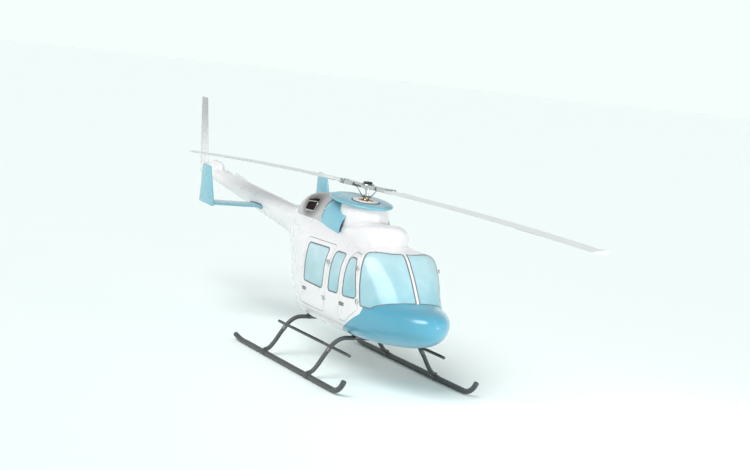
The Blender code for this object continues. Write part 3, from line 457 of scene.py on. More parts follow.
# Pieces
AFT = Matrix.Translation((0, -MAST_AFT, 0))


def keep(bm, name, body, slot, mats, replaces=(), angle=32, turn=None):
    """Turns a mesh into a shown piece that rides on a body."""
    if turn is not None:
        bm.transform(turn)
    bm.transform(AFT)
    obj = placed(bm, name)
    for mat in (mats if isinstance(mats, (list, tuple)) else [mats]):
        obj.data.materials.append(mat)
    obj.data.shade_smooth()
    obj.data.set_sharp_from_angle(angle=math.radians(angle))
    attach(obj, body)
    if replaces:
        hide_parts(*([replaces] if isinstance(replaces, str) else replaces))
    return obj


def both(bm, name, bodies, slot, mats, replaces=None, angle=32):
    """A port piece and its mirror image on the starboard side."""
    if isinstance(bodies, str):
        bodies = {PORT: bodies, STARBOARD: bodies}
    other = mirrored(bm)
    for side, mesh in ((PORT, bm), (STARBOARD, other)):
        keep(mesh, name + "_" + LABEL[side], bodies[side], slot, mats,
             replaces + "_" + LABEL[side] if replaces else (), angle)


def door_bodies(kind):
    return {PORT: kind + "_door_port", STARBOARD: kind + "_door_starboard"}


# Materials
class Look:
    """A node material under construction; its patterns are fixed to the piece."""

    def __init__(self, name, color, roughness, metallic=0.0, **sockets):
        self.mat = bpy.data.materials.new(name)
        self.mat.use_nodes = True
        self.tree = self.mat.node_tree
        self.shader = self.tree.nodes["Principled BSDF"]
        self.color = (*color, 1.0)
        self.shader.inputs["Base Color"].default_value = self.color
        self.shader.inputs["Roughness"].default_value = roughness
        self.shader.inputs["Metallic"].default_value = metallic
        for label, value in sockets.items():
            self.shader.inputs[label.replace("_", " ")].default_value = value
        self.mat.diffuse_color = self.color
        self.place = self.new("ShaderNodeTexCoord").outputs["Object"]

    def new(self, kind, **settings):
        node = self.tree.nodes.new(kind)
        for label, value in settings.items():
            setattr(node, label, value)
        return node

    def feed(self, socket, value):
        if isinstance(value, bpy.types.NodeSocket):
            self.tree.links.new(value, socket)
        else:
            socket.default_value = value

    def stretched(self, scale):
        node = self.new("ShaderNodeMapping")
        self.feed(node.inputs["Vector"], self.place)
        node.inputs["Scale"].default_value = scale
        return node.outputs["Vector"]

    def noise(self, scale, detail=4.0, roughness=0.5, stretch=None):
        node = self.new("ShaderNodeTexNoise")
        self.feed(node.inputs["Vector"], self.stretched(stretch) if stretch else self.place)
        node.inputs["Scale"].default_value = scale
        node.inputs["Detail"].default_value = detail
        node.inputs["Roughness"].default_value = roughness
        return node.outputs["Fac"]

    def cells(self, scale):
        node = self.new("ShaderNodeTexVoronoi", feature="F1")
        self.feed(node.inputs["Vector"], self.place)
        node.inputs["Scale"].default_value = scale
        return node.outputs["Distance"]

    def waves(self, scale, axis, distortion=0.0):
        node = self.new("ShaderNodeTexWave", bands_direction=axis)
        self.feed(node.inputs["Vector"], self.place)
        node.inputs["Scale"].default_value = scale
        node.inputs["Distortion"].default_value = distortion
        node.inputs["Detail"].default_value = 1.0
        return node.outputs["Fac"]

    def axis(self, name):
        node = self.new("ShaderNodeSeparateXYZ")
        self.feed(node.inputs["Vector"], self.place)
        return node.outputs[name]

    def span(self, value, low, high, to_low=0.0, to_high=1.0):
        node = self.new("ShaderNodeMapRange", interpolation_type="SMOOTHSTEP")
        self.feed(node.inputs["Value"], value)
        for label, number in (("From Min", low), ("From Max", high), ("To Min", to_low),
                              ("To Max", to_high)):
            node.inputs[label].default_value = number
        return node.outputs["Result"]

    def sum(self, a, b, operation="ADD"):
        node = self.new("ShaderNodeMath", operation=operation)
        self.feed(node.inputs[0], a)
        self.feed(node.inputs[1], b)
        return node.outputs["Value"]

    def blend(self, a, b, share):
        """Colour between a and b."""
        node = self.new("ShaderNodeMix", data_type="RGBA")
        for socket, value in ((node.inputs[6], a), (node.inputs[7], b)):
            self.feed(socket, value if isinstance(value, bpy.types.NodeSocket)
                      else (*value[:3], 1.0))
        self.feed(node.inputs[0], share)
        return node.outputs[2]

    def base(self, color):
        self.feed(self.shader.inputs["Base Color"], color)

    def rough(self, value, low, high):
        self.feed(self.shader.inputs["Roughness"], self.span(value, 0.3, 0.7, low, high))

    def relief(self, height, strength, depth):
        """Bumps on top of any bumps already there."""
        node = self.new("ShaderNodeBump")
        node.inputs["Strength"].default_value = strength
        node.inputs["Distance"].default_value = depth
        self.feed(node.inputs["Height"], height)
        before = self.shader.inputs["Normal"].links
        if before:
            self.feed(node.inputs["Normal"], before[0].from_socket)
        self.feed(self.shader.inputs["Normal"], node.outputs["Normal"])


def tinted(color, factor):
    return tuple(min(1.0, c * factor) for c in color)


def paint(name, color, rough=0.25, low_tint=(0.62, 0.60, 0.59), low_tint_top=1.0, coat=0.6,
          coat_rough=0.17, fade=None):
    """Gloss paint: slow colour drift, faint tinted streaks low down, orange peel and slow waves.

    fade is (height, height, colour): painted shade; between the heights it turns into that colour.
    """
    look = Look(name, color, rough, Coat_Weight=coat, Coat_Roughness=coat_rough)
    drift = look.blend(tinted(color, 0.93), tinted(color, 1.04), look.noise(1.7, 3.0))
    streaks = look.noise(3.0, 6.0, 0.62, (1.0, 0.35, 2.2))
    # Streaks of a second tint towards the bottom of the piece, darker on most pieces
    low = look.span(look.axis("Z"), 0.62, low_tint_top, 1.0, 0.0)
    low_streaks = look.sum(look.sum(low, look.span(streaks, 0.42, 0.72), "MULTIPLY"), 0.45, "MULTIPLY")
    streaked = look.blend(drift, tuple(c * g for c, g in zip(color, low_tint)), low_streaks)
    # Height fade into a second colour: painted shade, used on the fin to grey its top
    if fade:
        streaked = look.blend(streaked, fade[2], look.span(look.axis("Z"), fade[0], fade[1]))
    look.base(streaked)
    look.rough(look.noise(4.0, 2.0), rough - 0.04, rough + 0.06)
    look.relief(look.noise(160.0, 2.0), 0.03, 0.0006)
    look.relief(look.noise(2.3, 2.0), 0.08, 0.006)
    return look.mat


def brushed(name, color, rough, metallic):
    """Worked metal: grain along one direction, stains, fine scratches."""
    look = Look(name, color, rough, metallic)
    grain = look.noise(14.0, 8.0, 0.65, (2.0, 40.0, 2.0))
    stain = look.noise(4.0, 5.0, 0.6)
    tone = look.blend(tinted(color, 0.82), tinted(color, 1.12), look.span(grain, 0.3, 0.7))
    look.base(look.blend(tone, tinted(color, 0.70), look.span(stain, 0.55, 0.8, 0.0, 0.55)))
    look.rough(look.sum(grain, stain, "MULTIPLY"), rough - 0.12, rough + 0.20)
    look.relief(grain, 0.10, 0.001)
    return look.mat


def stained_and_shaded(name, color, soot_and_shade, centre, reach):
    """Bare cowling metal, darkened round one point of its side: exhaust stain and painted shade of
    the recess.
    """
    look = Look(name, color, 0.38, 0.55)
    grain = look.noise(14.0, 8.0, 0.65, (2.0, 2.0, 30.0))
    clean = look.blend(tinted(color, 0.88), tinted(color, 1.10), look.span(grain, 0.3, 0.7))
    total = look.sum(look.noise(6.0, 5.0, 0.6), 0.5, "MULTIPLY")
    for name_of, middle, size in zip("YZ", centre, reach):
        share = look.sum(look.sum(look.axis(name_of), middle, "SUBTRACT"), size, "DIVIDE")
        total = look.sum(total, look.sum(share, share, "MULTIPLY"))
    # Darkest at the exhaust recess: partly an exhaust stain, partly painted shade
    look.base(look.blend(soot_and_shade, clean, look.span(total, 0.35, 1.45)))
    look.rough(look.sum(grain, look.noise(4.0, 5.0), "MULTIPLY"), 0.28, 0.55)
    look.relief(grain, 0.10, 0.001)
    return look.mat


def moulded(name, color, rough=0.55, grain=260.0, depth=0.25):
    """Moulded plastic or rubber with a fine leather grain and rubbed places."""
    look = Look(name, color, rough)
    cells = look.cells(grain)
    rub = look.noise(7.0, 4.0)
    look.base(look.blend(tinted(color, 0.80), tinted(color, 1.30), look.span(rub, 0.35, 0.75)))
    look.rough(rub, rough - 0.10, rough + 0.14)
    look.relief(cells, depth, 0.001)
    return look.mat


def woven(name, color, thread=(0.32, 0.36, 0.41)):
    """Seat cloth: a tight weave, flecked yarn and a soft sheen."""
    look = Look(name, color, 0.86, Sheen_Weight=0.35, Sheen_Roughness=0.5)
    warp = look.waves(95.0, "X", 0.4)
    weft = look.waves(95.0, "Z", 0.4)
    fill = look.waves(95.0, "Y", 0.4)
    weave = look.sum(look.sum(warp, weft, "MULTIPLY"), look.sum(warp, fill, "MULTIPLY"))
    fleck = look.span(look.noise(240.0, 2.0), 0.45, 0.65)
    wear = look.span(look.noise(5.0, 3.0), 0.4, 0.8, 0.0, 0.35)
    cloth = look.blend(color, thread, look.sum(fleck, weave, "MULTIPLY"))
    look.base(look.blend(cloth, tinted(thread, 1.25), wear))
    look.relief(weave, 0.5, 0.0012)
    look.relief(look.noise(60.0, 3.0), 0.25, 0.002)
    return look.mat


def glazing(name):
    """Tinted acrylic, faintly smeared; painted reflection: light aft and high, deeper blue forward
    and low.
    """
    look = Look(name, (0.42, 0.70, 0.76), 0.2, Coat_Weight=0.25, Coat_Roughness=0.12, IOR=1.49)
    # Painted reflection: the pane turns lighter aft and high, deeper blue forward and low
    along = look.span(look.axis("Y"), -3.0, -0.6)
    height = look.span(look.axis("Z"), 1.2, 1.9)
    pale_reflection_and_smear, deep = (0.66, 0.83, 0.87), (0.30, 0.60, 0.68)
    tone = look.blend(deep, pale_reflection_and_smear, look.sum(look.sum(along, 0.35, "MULTIPLY"),
                                           look.sum(height, 0.45, "MULTIPLY")))
    look.base(look.blend(tone, pale_reflection_and_smear, look.span(look.noise(2.0, 4.0), 0.4, 0.8, 0.0, 0.4)))
    look.rough(look.noise(11.0, 6.0, 0.65), 0.16, 0.26)
    look.feed(look.shader.inputs["Alpha"], look.span(look.noise(3.0, 3.0), 0.3, 0.7, 0.66, 0.76))
    look.relief(look.noise(5.0, 1.0), 0.04, 0.01)
    return look.mat


WHITE = paint("paint_white_look", (0.76, 0.742, 0.752), 0.30, low_tint_top=1.25)
# The fin's paint turns grey towards its top: painted shade
FIN_PAINTED_SHADE_WHITE = paint("fin_painted_shade_look", (0.76, 0.742, 0.752), 0.30, fade=(2.2, 3.45, (0.36, 0.35, 0.355)))
BLUE = paint("paint_blue_look", (0.070, 0.320, 0.450), 0.36, (0.8, 0.8, 0.8), 0.9, 0.9,
             coat_rough=0.18)
LIGHT_BLUE = paint("paint_light_blue_look", (0.185, 0.455, 0.555), 0.30, (0.9, 0.9, 0.9), 0.7)
# Cowling metal whose dark patch round the exhaust recess is part exhaust stain, part painted shade
METAL = stained_and_shaded("cowl_metal_look", (0.56, 0.545, 0.55), (0.115, 0.085, 0.085), (0.085, 2.315),
               (0.42, 0.23))
SOOT = brushed("soot_look", (0.085, 0.060, 0.058), 0.60, 0.4)
EDGE = brushed("blade_edge_look", (0.76, 0.78, 0.775), 0.45, 0.3)
STEEL = brushed("steel_look", (0.56, 0.57, 0.58), 0.30, 0.92)
DARK_STEEL = brushed("dark_steel_look", (0.16, 0.165, 0.17), 0.42, 0.8)
BRONZE = brushed("bronze_look", (0.55, 0.38, 0.16), 0.32, 0.9)
GEAR = paint("gear_paint_look", (0.055, 0.060, 0.060), 0.42, (2.2, 2.1, 2.0), 0.5, 0.15)
BLADE = paint("blade_paint_look", (0.72, 0.75, 0.745), 0.36, (0.9, 0.9, 0.9), 0.7, 0.2)
RUBBER = moulded("rubber_look", (0.15, 0.17, 0.19), 0.55, 300.0, 0.15)
BLACK = moulded("black_plastic_look", (0.03, 0.032, 0.034), 0.5)
TRIM = moulded("cabin_trim_look", (0.36, 0.38, 0.40), 0.66)
LINING = moulded("lining_look", (0.60, 0.61, 0.61), 0.80, 120.0, 0.35)
GRIP = moulded("grip_look", (0.02, 0.02, 0.021), 0.92, 420.0, 0.9)
CLOTH = woven("seat_cloth_look", (0.17, 0.21, 0.25))
WEBBING = woven("webbing_look", (0.045, 0.05, 0.055), (0.10, 0.11, 0.12))
GLAZING = glazing("glass_tint_painted_reflection_look")


# Cabin body
def body_ring(station, inset=0.0, points=112):
    half, keel, wide, crown, above, below = (smooth(BODY_ROWS, station, c) for c in range(1, 7))
    bow = smooth(BOW_ROWS, station)
    ring = []
    for k in range(points):
        turn = 2 * math.pi * k / points
        square = above if k < points / 2 else below
        x = (half - inset) * power(math.cos(turn), 2 / square)
        rise = power(math.sin(turn), 2 / square)
        z = wide + rise * ((crown - wide - inset) if rise > 0 else (wide - keel - inset))
        ring.append(Vector((x, station + bow * (x / BOW_WIDTH) ** 2, z)))
    return ring


def body_solid(inset=0.0):
    first = BODY_ROWS[0][0]
    stations = [first + 0.59 * (k / 18) ** 1.8 for k in range(18)]
    stations += [-1.95, -1.94, -1.93, -1.92, -1.91, -1.90, -1.885, -1.86, -1.83]
    stations += spread(-1.79, -1.20, 14) + spread(-1.14, BODY_REAR, 54)
    if inset > 0.001:
        stations = [max(s, first + 1.4 * inset) for s in stations if s > first + 0.9 * inset]
        stations = sorted(set(stations))
        stations[-1] = BODY_REAR + 0.05
    return tool(loft([body_ring(s, inset) for s in stations]))


def chin_tool(grow=0.0):
    low, high, front, count = 0.2, 2.2, -3.0, 72
    rings = []
    for k in range(count):
        x = 0.9 * (2 * k / (count - 1) - 1)
        bow = smooth(BOW_ROWS, WINDSHIELD_BASE) * (x / BOW_WIDTH) ** 2
        brow = min(WINDSHIELD_BASE + bow, CHIN_CORNER[0] - 0.01) + grow
        rings.append([Vector((x, y, z)) for y, z in (
            (front, low), (front, high), (brow, high), (brow, CHIN_CORNER[1] + grow),
            (CHIN_CORNER[0] + grow, CHIN_CORNER[1] + grow),
            (CHIN_KNEE[0] + grow, CHIN_KNEE[1] + grow),
            (CHIN_TAIL[0] + grow, CHIN_TAIL[1] + grow), (CHIN_TAIL[0] + grow, low))])
    return tool(loft(rings))


def windshield_tool(grow=0.0):
    edge = through([(POST_HALF, -1.385, 0), (0.20, -1.368, 0), (0.36, -1.305, 0),
                    (0.46, -1.240, 0), (0.53, -1.232, 0), (0.60, -1.245, 0),
                    (0.85, -1.250, 0)], 6)
    rings = []
    for z in (CHIN_CORNER[1] - 2 * grow, 2.15):
        lean = WINDSHIELD_LEAN * (z - 1.86)
        inner = POST_HALF - grow
        ring = [(inner, -2.3), (inner, edge[0].y + lean + grow)]
        ring += [(p.x, p.y + lean + grow) for p in edge[1:]]
        ring.append((0.85, -2.3))
        rings.append([Vector((x, y, z)) for x, y in ring])
    return tool(loft(rings))


def line_inside(bm, tree):
    """Gives the inner skin and cut edges of a body panel their own material numbers."""
    for face in bm.faces:
        _, normal, _, distance = tree.find_nearest(face.calc_center_median())
        if distance > SKIN - 0.005 or (distance > 0.004 and face.normal.dot(normal) < -0.5):
            face.material_index = 1
    return bm


def outer_loop(bm, tree, near):
    """The closed line round the outer face of a pane, as points on the skin with normals."""
    outer = set()
    for face in bm.faces:
        _, normal, _, distance = tree.find_nearest(face.calc_center_median())
        if distance < near and face.normal.dot(normal) > 0.6:
            outer.add(face)
    links = {}
    for edge in bm.edges:
        if len(edge.link_faces) == 2 and (edge.link_faces[0] in outer) != (
                edge.link_faces[1] in outer):
            a, b = edge.verts
            links.setdefault(a, []).append(b)
            links.setdefault(b, []).append(a)
    best = []
    seen = set()
    for start in links:
        if start in seen:
            continue
        chain, here, last = [start], start, None
        seen.add(start)
        while True:
            onward = [v for v in links[here] if v is not last and v not in seen]
            if not onward:
                break
            last, here = here, onward[0]
            seen.add(here)
            chain.append(here)
        length = sum((a.co - b.co).length for a, b in zip(chain, chain[1:]))
        if length > sum((a - b).length for a, b in zip(best, best[1:])):
            best = [v.co.copy() for v in chain]
    return best


def resampled(path, step, closed=True, passes=3):
    """Evenly spaced points along a path, with small kinks smoothed away."""
    if closed:
        path = path + [path[0]]
    lengths = [0.0]
    for a, b in zip(path, path[1:]):
        lengths.append(lengths[-1] + (b - a).length)
    count = max(8, round(lengths[-1] / step))
    points = []
    k = 0
    for j in range(count if closed else count + 1):
        goal = lengths[-1] * j / count
        while k < len(lengths) - 2 and lengths[k + 1] < goal:
            k += 1
        part = (goal - lengths[k]) / max(1e-9, lengths[k + 1] - lengths[k])
        points.append(path[k].lerp(path[k + 1], min(1.0, part)))
    for _ in range(passes):
        n = len(points)
        fresh = []
        for j in range(n):
            if not closed and j in (0, n - 1):
                fresh.append(points[j])
            else:
                fresh.append(0.25 * points[j - 1] + 0.5 * points[j] + 0.25 * points[(j + 1) % n])
        points = fresh
    return points


def ribbon(path, tree, width, proud, closed=True, sunk=0.004):
    """A low moulding laid along a path on a surface."""
    rings = []
    n = len(path)
    for j, point in enumerate(path):
        spot, normal, _, _ = tree.find_nearest(point)
        if closed:
            ahead = path[(j + 1) % n] - path[j - 1]
        else:
            ahead = path[min(j + 1, n - 1)] - path[max(j - 1, 0)]
        ahead.normalize()
        across = normal.cross(ahead).normalized()
        rings.append([spot + across * (width * u) + normal * h for u, h in (
            (-0.5, -sunk), (-0.5, 0.3 * proud), (-0.34, 0.85 * proud), (0.0, proud),
            (0.34, 0.85 * proud), (0.5, 0.3 * proud), (0.5, -sunk))])
    return loft(rings, hoop=closed)


def rivets(bm, path, tree, step, radius):
    """Adds domed rivet heads to bm along a path on a surface."""
    for point in resampled(path, step, False, 0):
        spot, normal, _, distance = tree.find_nearest(point)
        if distance > 0.05:
            continue
        side = normal.orthogonal().normalized()
        other = normal.cross(side)
        rows = []
        for r, h in ((1.0, -0.5), (1.0, 0.05), (0.62, 0.32)):
            rows.append([bm.verts.new(spot + normal * (radius * h) + radius * r * (
                side * math.cos(math.pi * k / 4) + other * math.sin(math.pi * k / 4)))
                for k in range(8)])
        for lower, upper in zip(rows, rows[1:]):
            for k in range(8):
                bm.faces.new((lower[k], lower[(k + 1) % 8], upper[(k + 1) % 8], upper[k]))
        bm.faces.new(rows[-1])
        bm.faces.new(list(reversed(rows[0])))


def make_body():
    """Nose, cabin, belly, aft body, doors, panes and their seals."""
    outer = body_solid()
    outer_tree = tree_of(outer)
    inner = body_solid(SKIN)
    shell = tool(carve(outer, remove=[inner]))
    panes = tool(carve(body_solid(GLASS_DROP), remove=[body_solid(GLASS_DROP + GLASS)]))
    chin, chin_clear = chin_tool(), chin_tool(SEAM)
    cabin_box = tool(box((-2, -4, SILL_Z), (2, CABIN_REAR, 3)))
    belly_box = tool(box((-2, -4, 0), (2, CABIN_REAR, SILL_Z - SEAM)))
    aft_box = tool(box((-2, CABIN_REAR + SEAM, 0), (2, BODY_REAR, 3)))

    def panel(name, slot, mat, **steps):
        keep(line_inside(carve(shell, **steps), outer_tree), name + "_skin", "airframe", slot,
             [mat, LINING], name)

    panel("nose_fairing", "paint_blue", BLUE, keep=[chin])
    panel("belly_shell", "paint_white", WHITE, keep=[belly_box], remove=[chin_clear])
    panel("aft_fuselage", "paint_white", WHITE, keep=[aft_box])

    seal_path = {}
    openings = []

    def pane(name, bodies, port_tool, opening):
        bm = carve(panes, keep=[port_tool[0]], remove=port_tool[1:])
        seal_path[name] = resampled(outer_loop(bm, outer_tree, 0.0035), 0.012)
        both(bm, name + "_pane", bodies, "glass", GLAZING, name, 40)
        seal = ribbon(seal_path[name], outer_tree, 0.020, 0.0035)
        both(seal, name + "_seal", bodies, "black_plastic", RUBBER)
        openings.append(opening)

    shield = windshield_tool()
    pane("windshield", "airframe", [windshield_tool(-SEAM), chin_clear], shield)
    pane("mid_window", "airframe",
         [tool(side_prism(rounded(grown(MID_WINDOW, -SEAM), WINDOW_CORNER)))],
         tool(side_prism(rounded(MID_WINDOW, WINDOW_CORNER))))
    for kind, outline, window, tapers in (
            ("crew", CREW_DOOR, CREW_WINDOW, CREW_TAPERS),
            ("passenger", PASSENGER_DOOR, PASSENGER_WINDOW, PASSENGER_TAPERS)):
        edge = max(y for y, _ in outline)
        leaf = tool(side_prism(rounded(outline, DOOR_CORNER), tapers[0], edge))
        way = tool(side_prism(rounded(grown(outline, DOOR_GAP), DOOR_CORNER + DOOR_GAP),
                              tapers[1], edge))
        hole = tool(side_prism(rounded(window, WINDOW_CORNER)))
        pane(kind + "_window", door_bodies(kind),
             [tool(side_prism(rounded(grown(window, -SEAM), WINDOW_CORNER)))], way)
        door = line_inside(carve(shell, keep=[leaf], remove=[hole]), outer_tree)
        both(door, kind + "_door_skin", door_bodies(kind), "paint_white", [WHITE, LINING],
             kind + "_door")
    openings += [tool(mirrored(bmesh_of(opening))) for opening in openings]
    cabin = line_inside(carve(shell, keep=[cabin_box], remove=[chin_clear] + openings),
                        outer_tree)
    keep(cabin, "cabin_shell_skin", "airframe", "paint_white", [WHITE, LINING], "cabin_shell")
    return outer, outer_tree


def make_hinges():
    """Steel knuckles, pins and bolts on the door hinge lines."""
    for kind, line, reach in (("crew", CREW_HINGE, CREW_REACH),
                              ("passenger", PASSENGER_HINGE, PASSENGER_REACH)):
        low, high = (Vector(p) for p in line)
        along = (high - low).normalized()
        out = Vector((1, 0, 0))
        out = (out - along * out.dot(along)).normalized()
        aft = along.cross(out)
        length = (high - low).length
        for leaf in (True, False):
            bm = bmesh.new()
            for level in (0.0, length - 2 * KNUCKLE_TALL - SEAM):
                start = level + (KNUCKLE_TALL + SEAM if leaf else 0.0)
                merge(bm, turned([(start, 0.8 * KNUCKLE_R), (start + 0.0015, KNUCKLE_R),
                                  (start + KNUCKLE_TALL - 0.0015, KNUCKLE_R),
                                  (start + KNUCKLE_TALL, 0.8 * KNUCKLE_R)], low, along, 20))
                near, far = (0.001, reach[1]) if leaf else (-reach[0], -0.001)
                third = KNUCKLE_TALL / 3
                ring = [(-0.045, near), (0.002, near), (0.004, 0.5 * (near + far)), (0.002, far),
                        (-0.045, far)]
                merge(bm, loft([[low + out * u + aft * v + along * w for u, v in ring]
                                for w in (start + third, start + 2 * third)]))
                if not leaf:
                    merge(bm, turned([(start - 0.004, 0.003), (start - 0.003, 0.006),
                                      (start - 0.0005, 0.006)], low, along, 12))
            name = kind + ("_hinge_leaf" if leaf else "_hinge_bracket")
            both(bm, name, door_bodies(kind) if leaf else "airframe", "steel", STEEL)


# Roof, rotor pylon and engine
def oval(centre, half, level, inset=0.0, sides=72, slope=0.0):
    ring = []
    for turn in turns(sides):
        y = centre + (half[1] - inset) * math.sin(turn)
        ring.append(Vector(((half[0] - inset) * math.cos(turn), y, level + slope * y)))
    return ring


def deck_rings(inset=0.0, sides=96):
    rings = []
    for share in [0.0, 0.3, 0.6] + spread(0.64, 1.0, 16):
        pull = smooth(DECK_STEPS, share)
        ring = []
        for turn in turns(sides):
            x = (DECK_HALF_WIDTH - 0.6 * pull - inset) * math.cos(turn)
            if math.sin(turn) < 0:
                y = DECK_CENTRE + (DECK_NOSE - pull - inset) * math.sin(turn)
            else:
                y = DECK_CENTRE + (DECK_TAIL - pull - inset) * math.sin(turn) ** 0.8
            top = DECK_TOP - DECK_FALL * (y - DECK_CENTRE) - inset
            ring.append(Vector((x, y, DECK_FOOT + share * (top - DECK_FOOT))))
        rings.append(ring)
    if inset > 0.001:
        rings[0] = [p - Vector((0, 0, 0.05)) for p in rings[0]]
    return rings


def cowl_rings(rows, inset=0.0, open_front=0.0, open_rear=0.0, points=56, count=24):
    stations = spread(rows[0][0], rows[-1][0], count)
    rings = []
    for k, station in enumerate(stations):
        half, crown = smooth(rows, station, 1), smooth(rows, station, 2)
        y = station
        if k == 0:
            y -= open_front
        if k == count - 1:
            y += open_rear if open_rear else -inset
        ring = [Vector((half - inset, y, COWL_FOOT - 0.1))]
        for j in range(points + 1):
            turn = math.pi * j / points
            ring.append(Vector(((half - inset) * power(math.cos(turn), 2 / COWL_SQUARE), y,
                                COWL_FOOT + (crown - inset - COWL_FOOT)
                                * math.sin(turn) ** (2 / COWL_SQUARE))))
        ring.append(Vector((inset - half, y, COWL_FOOT - 0.1)))
        rings.append(ring)
    return rings


def drum_rings(grow, low, high=None):
    rows = [(2.05, DRUM_FLARE, 0.0), (2.33, 0.7 * DRUM_FLARE, 0.4), (2.41, 0.2 * DRUM_FLARE, 0.8),
            (DRUM_TOP - SEAM, -0.010, 1.0)]
    levels = [low] + spread(2.10, DRUM_TOP - SEAM, 16)
    rings = [oval(0, DRUM_HALF, z, -smooth(rows, z) - grow, slope=smooth(rows, z, 2) * CAP_SLOPE)
             for z in levels]
    if high:
        rings.append(oval(0, DRUM_HALF, high, 0.010 - grow, slope=CAP_SLOPE))
    return rings


def make_pylon(outer):
    deck = tool(loft(deck_rings()))
    deck_inner = tool(loft(deck_rings(0.03)))
    keep(carve(deck, remove=[deck_inner, outer]), "roof_fairing_skin", "airframe",
         "paint_white", WHITE, "roof_fairing")

    drum = tool(loft(drum_rings(0.0, 2.05)))
    drum_inner = tool(loft(drum_rings(-COWL_WALL, 2.04, 2.60)))
    drum_clear = tool(loft(drum_rings(0.002, 2.04, 2.60)))
    keep(carve(drum, remove=[drum_inner, deck, outer]), "transmission_cowling_skin", "airframe",
         "paint_white", WHITE, "transmission_cowling")

    profile = [(DRUM_TOP, 0.030, 0), (DRUM_TOP + 0.012, 0.004, 0), (DRUM_TOP + 0.026, 0.0, 0),
               (CAP_TOP - 0.014, 0.012, 0), (CAP_TOP - 0.003, 0.050, 0), (CAP_TOP, 0.120, 0)]
    steps = [(p.x, p.y) for p in through(profile, 4)]

    def cap_rings(grow, above=None):
        rows = steps + ([(above, 0.120)] if above else [])
        return [oval(CAP_CENTRE, CAP_HALF, z, inset - grow, 96, CAP_SLOPE) for z, inset in rows]

    cap = tool(loft(cap_rings(0.0)))
    cap_clear = tool(loft(cap_rings(0.003, CAP_TOP + 0.1)))
    mast_hole = tool(turned([(2.2, MAST_HOLE), (2.9, MAST_HOLE)], (0, 0, 0), (0, 0, 1), 40))
    keep(carve(cap, remove=[mast_hole]), "cowling_cap_skin", "airframe", "paint_light_blue",
         LIGHT_BLUE, "cowling_cap")
    cap_tree = tree_of(cap)
    collar = tool(loft([oval(0, (COLLAR_R, COLLAR_R), CAP_TOP + z, inset, 64, CAP_SLOPE)
                        for z, inset in ((SEAM, 0.0), (0.010, 0.0), (0.016, 0.003),
                                         (0.019, 0.008), (0.020, 0.014))]))
    keep(carve(collar, remove=[mast_hole]), "mast_collar_skin", "airframe", "paint_white",
         WHITE, "mast_collar")
    ring = [Vector((1.03 * COLLAR_R * math.cos(t), 1.03 * COLLAR_R * math.sin(t), CAP_TOP))
            for t in spread(0, 2 * math.pi * 71 / 72, 72)]
    keep(ribbon(ring, cap_tree, 0.026, 0.012), "collar_seal", "airframe", "black_plastic",
         RUBBER)
    plate = CAP_TOP + 0.020
    bowl = [oval(0, (r, r), plate + h, 0.0, 64, CAP_SLOPE) for r, h in (
        (0.118, -0.002), (0.118, 0.004), (0.108, 0.006), (0.060, 0.010), (0.056, 0.020),
        (0.0425, 0.024))]
    bearing = tool(loft(bowl))
    keep(carve(bearing, remove=[mast_hole]), "mast_bearing_cover", "airframe", "steel", BRONZE)
    studs = bmesh.new()
    for turn in turns(12):
        x, y = 0.160 * math.cos(turn), 0.160 * math.sin(turn)
        merge(studs, bolt((x, y, CAP_TOP + 0.019 + CAP_SLOPE * y), (0, -CAP_SLOPE, 1), 0.006,
                          0.006))
    keep(studs, "collar_bolts", "airframe", "steel", STEEL)

    intake = tool(loft(cowl_rings(INTAKE_ROWS)))
    intake_inner = tool(loft(cowl_rings(INTAKE_ROWS, COWL_WALL, 0.05, 0.05)))
    cutters = [drum_clear, cap_clear, deck, outer]
    keep(carve(intake, remove=[intake_inner] + cutters), "intake_cowling_skin", "airframe",
         "paint_light_blue", [LIGHT_BLUE], "intake_cowling")
    rows = [(COWL_SPLIT + SEAM, *ENGINE_ROWS[0][1:])] + ENGINE_ROWS[1:]
    engine = tool(loft(cowl_rings(rows, count=40)))
    engine_tree = tree_of(engine)
    engine_inner = tool(loft(cowl_rings(rows, COWL_WALL, 0.05, count=40)))
    vent = tool(side_prism(rounded(VENT_SIDE, VENT_CORNER), inner_x=VENT_INNER))
    other_vent = tool(mirrored(bmesh_of(vent)))
    keep(carve(engine, remove=[engine_inner, deck, outer, vent, other_vent]),
         "engine_cowling_skin", "airframe", "cowl_metal", METAL, "engine_cowling")

    # A dark tray with louvre blades closes each exhaust recess
    tray = tool(loft(cowl_rings(rows, COWL_WALL + 0.030, 0.0, count=40)))
    tray_inner = tool(loft(cowl_rings(rows, COWL_WALL + 0.036, 0.05, count=40)))
    window = tool(side_prism(rounded(grown(VENT_SIDE, 0.012), VENT_CORNER), inner_x=0.28))
    both(carve(tray, keep=[window], remove=[tray_inner]), "exhaust_tray", "airframe",
         "black_plastic", SOOT)
    blades = bmesh.new()
    for k in range(5):
        y = 0.905 + 0.078 * k
        slat = [(0.30, 0.030), (0.30, 0.034), (0.60, -0.026), (0.60, -0.030)]
        merge(blades, prism([(x, y + dy) for x, dy in slat], 2, (2.20, 2.44)))
    louvres = tool(blades)
    skin_in = tool(loft(cowl_rings(rows, 0.004, 0.0, count=40)))
    both(carve(louvres, keep=[vent, skin_in], remove=[tray]), "exhaust_louvres", "airframe",
         "steel", SOOT)
    frame_line = [Vector((0.44, y, z)) for y, z in rounded(grown(VENT_SIDE, 0.006), 0.034)]
    both(ribbon(resampled(frame_line, 0.012), engine_tree, 0.016, 0.004), "exhaust_frame",
         "airframe", "steel", STEEL)

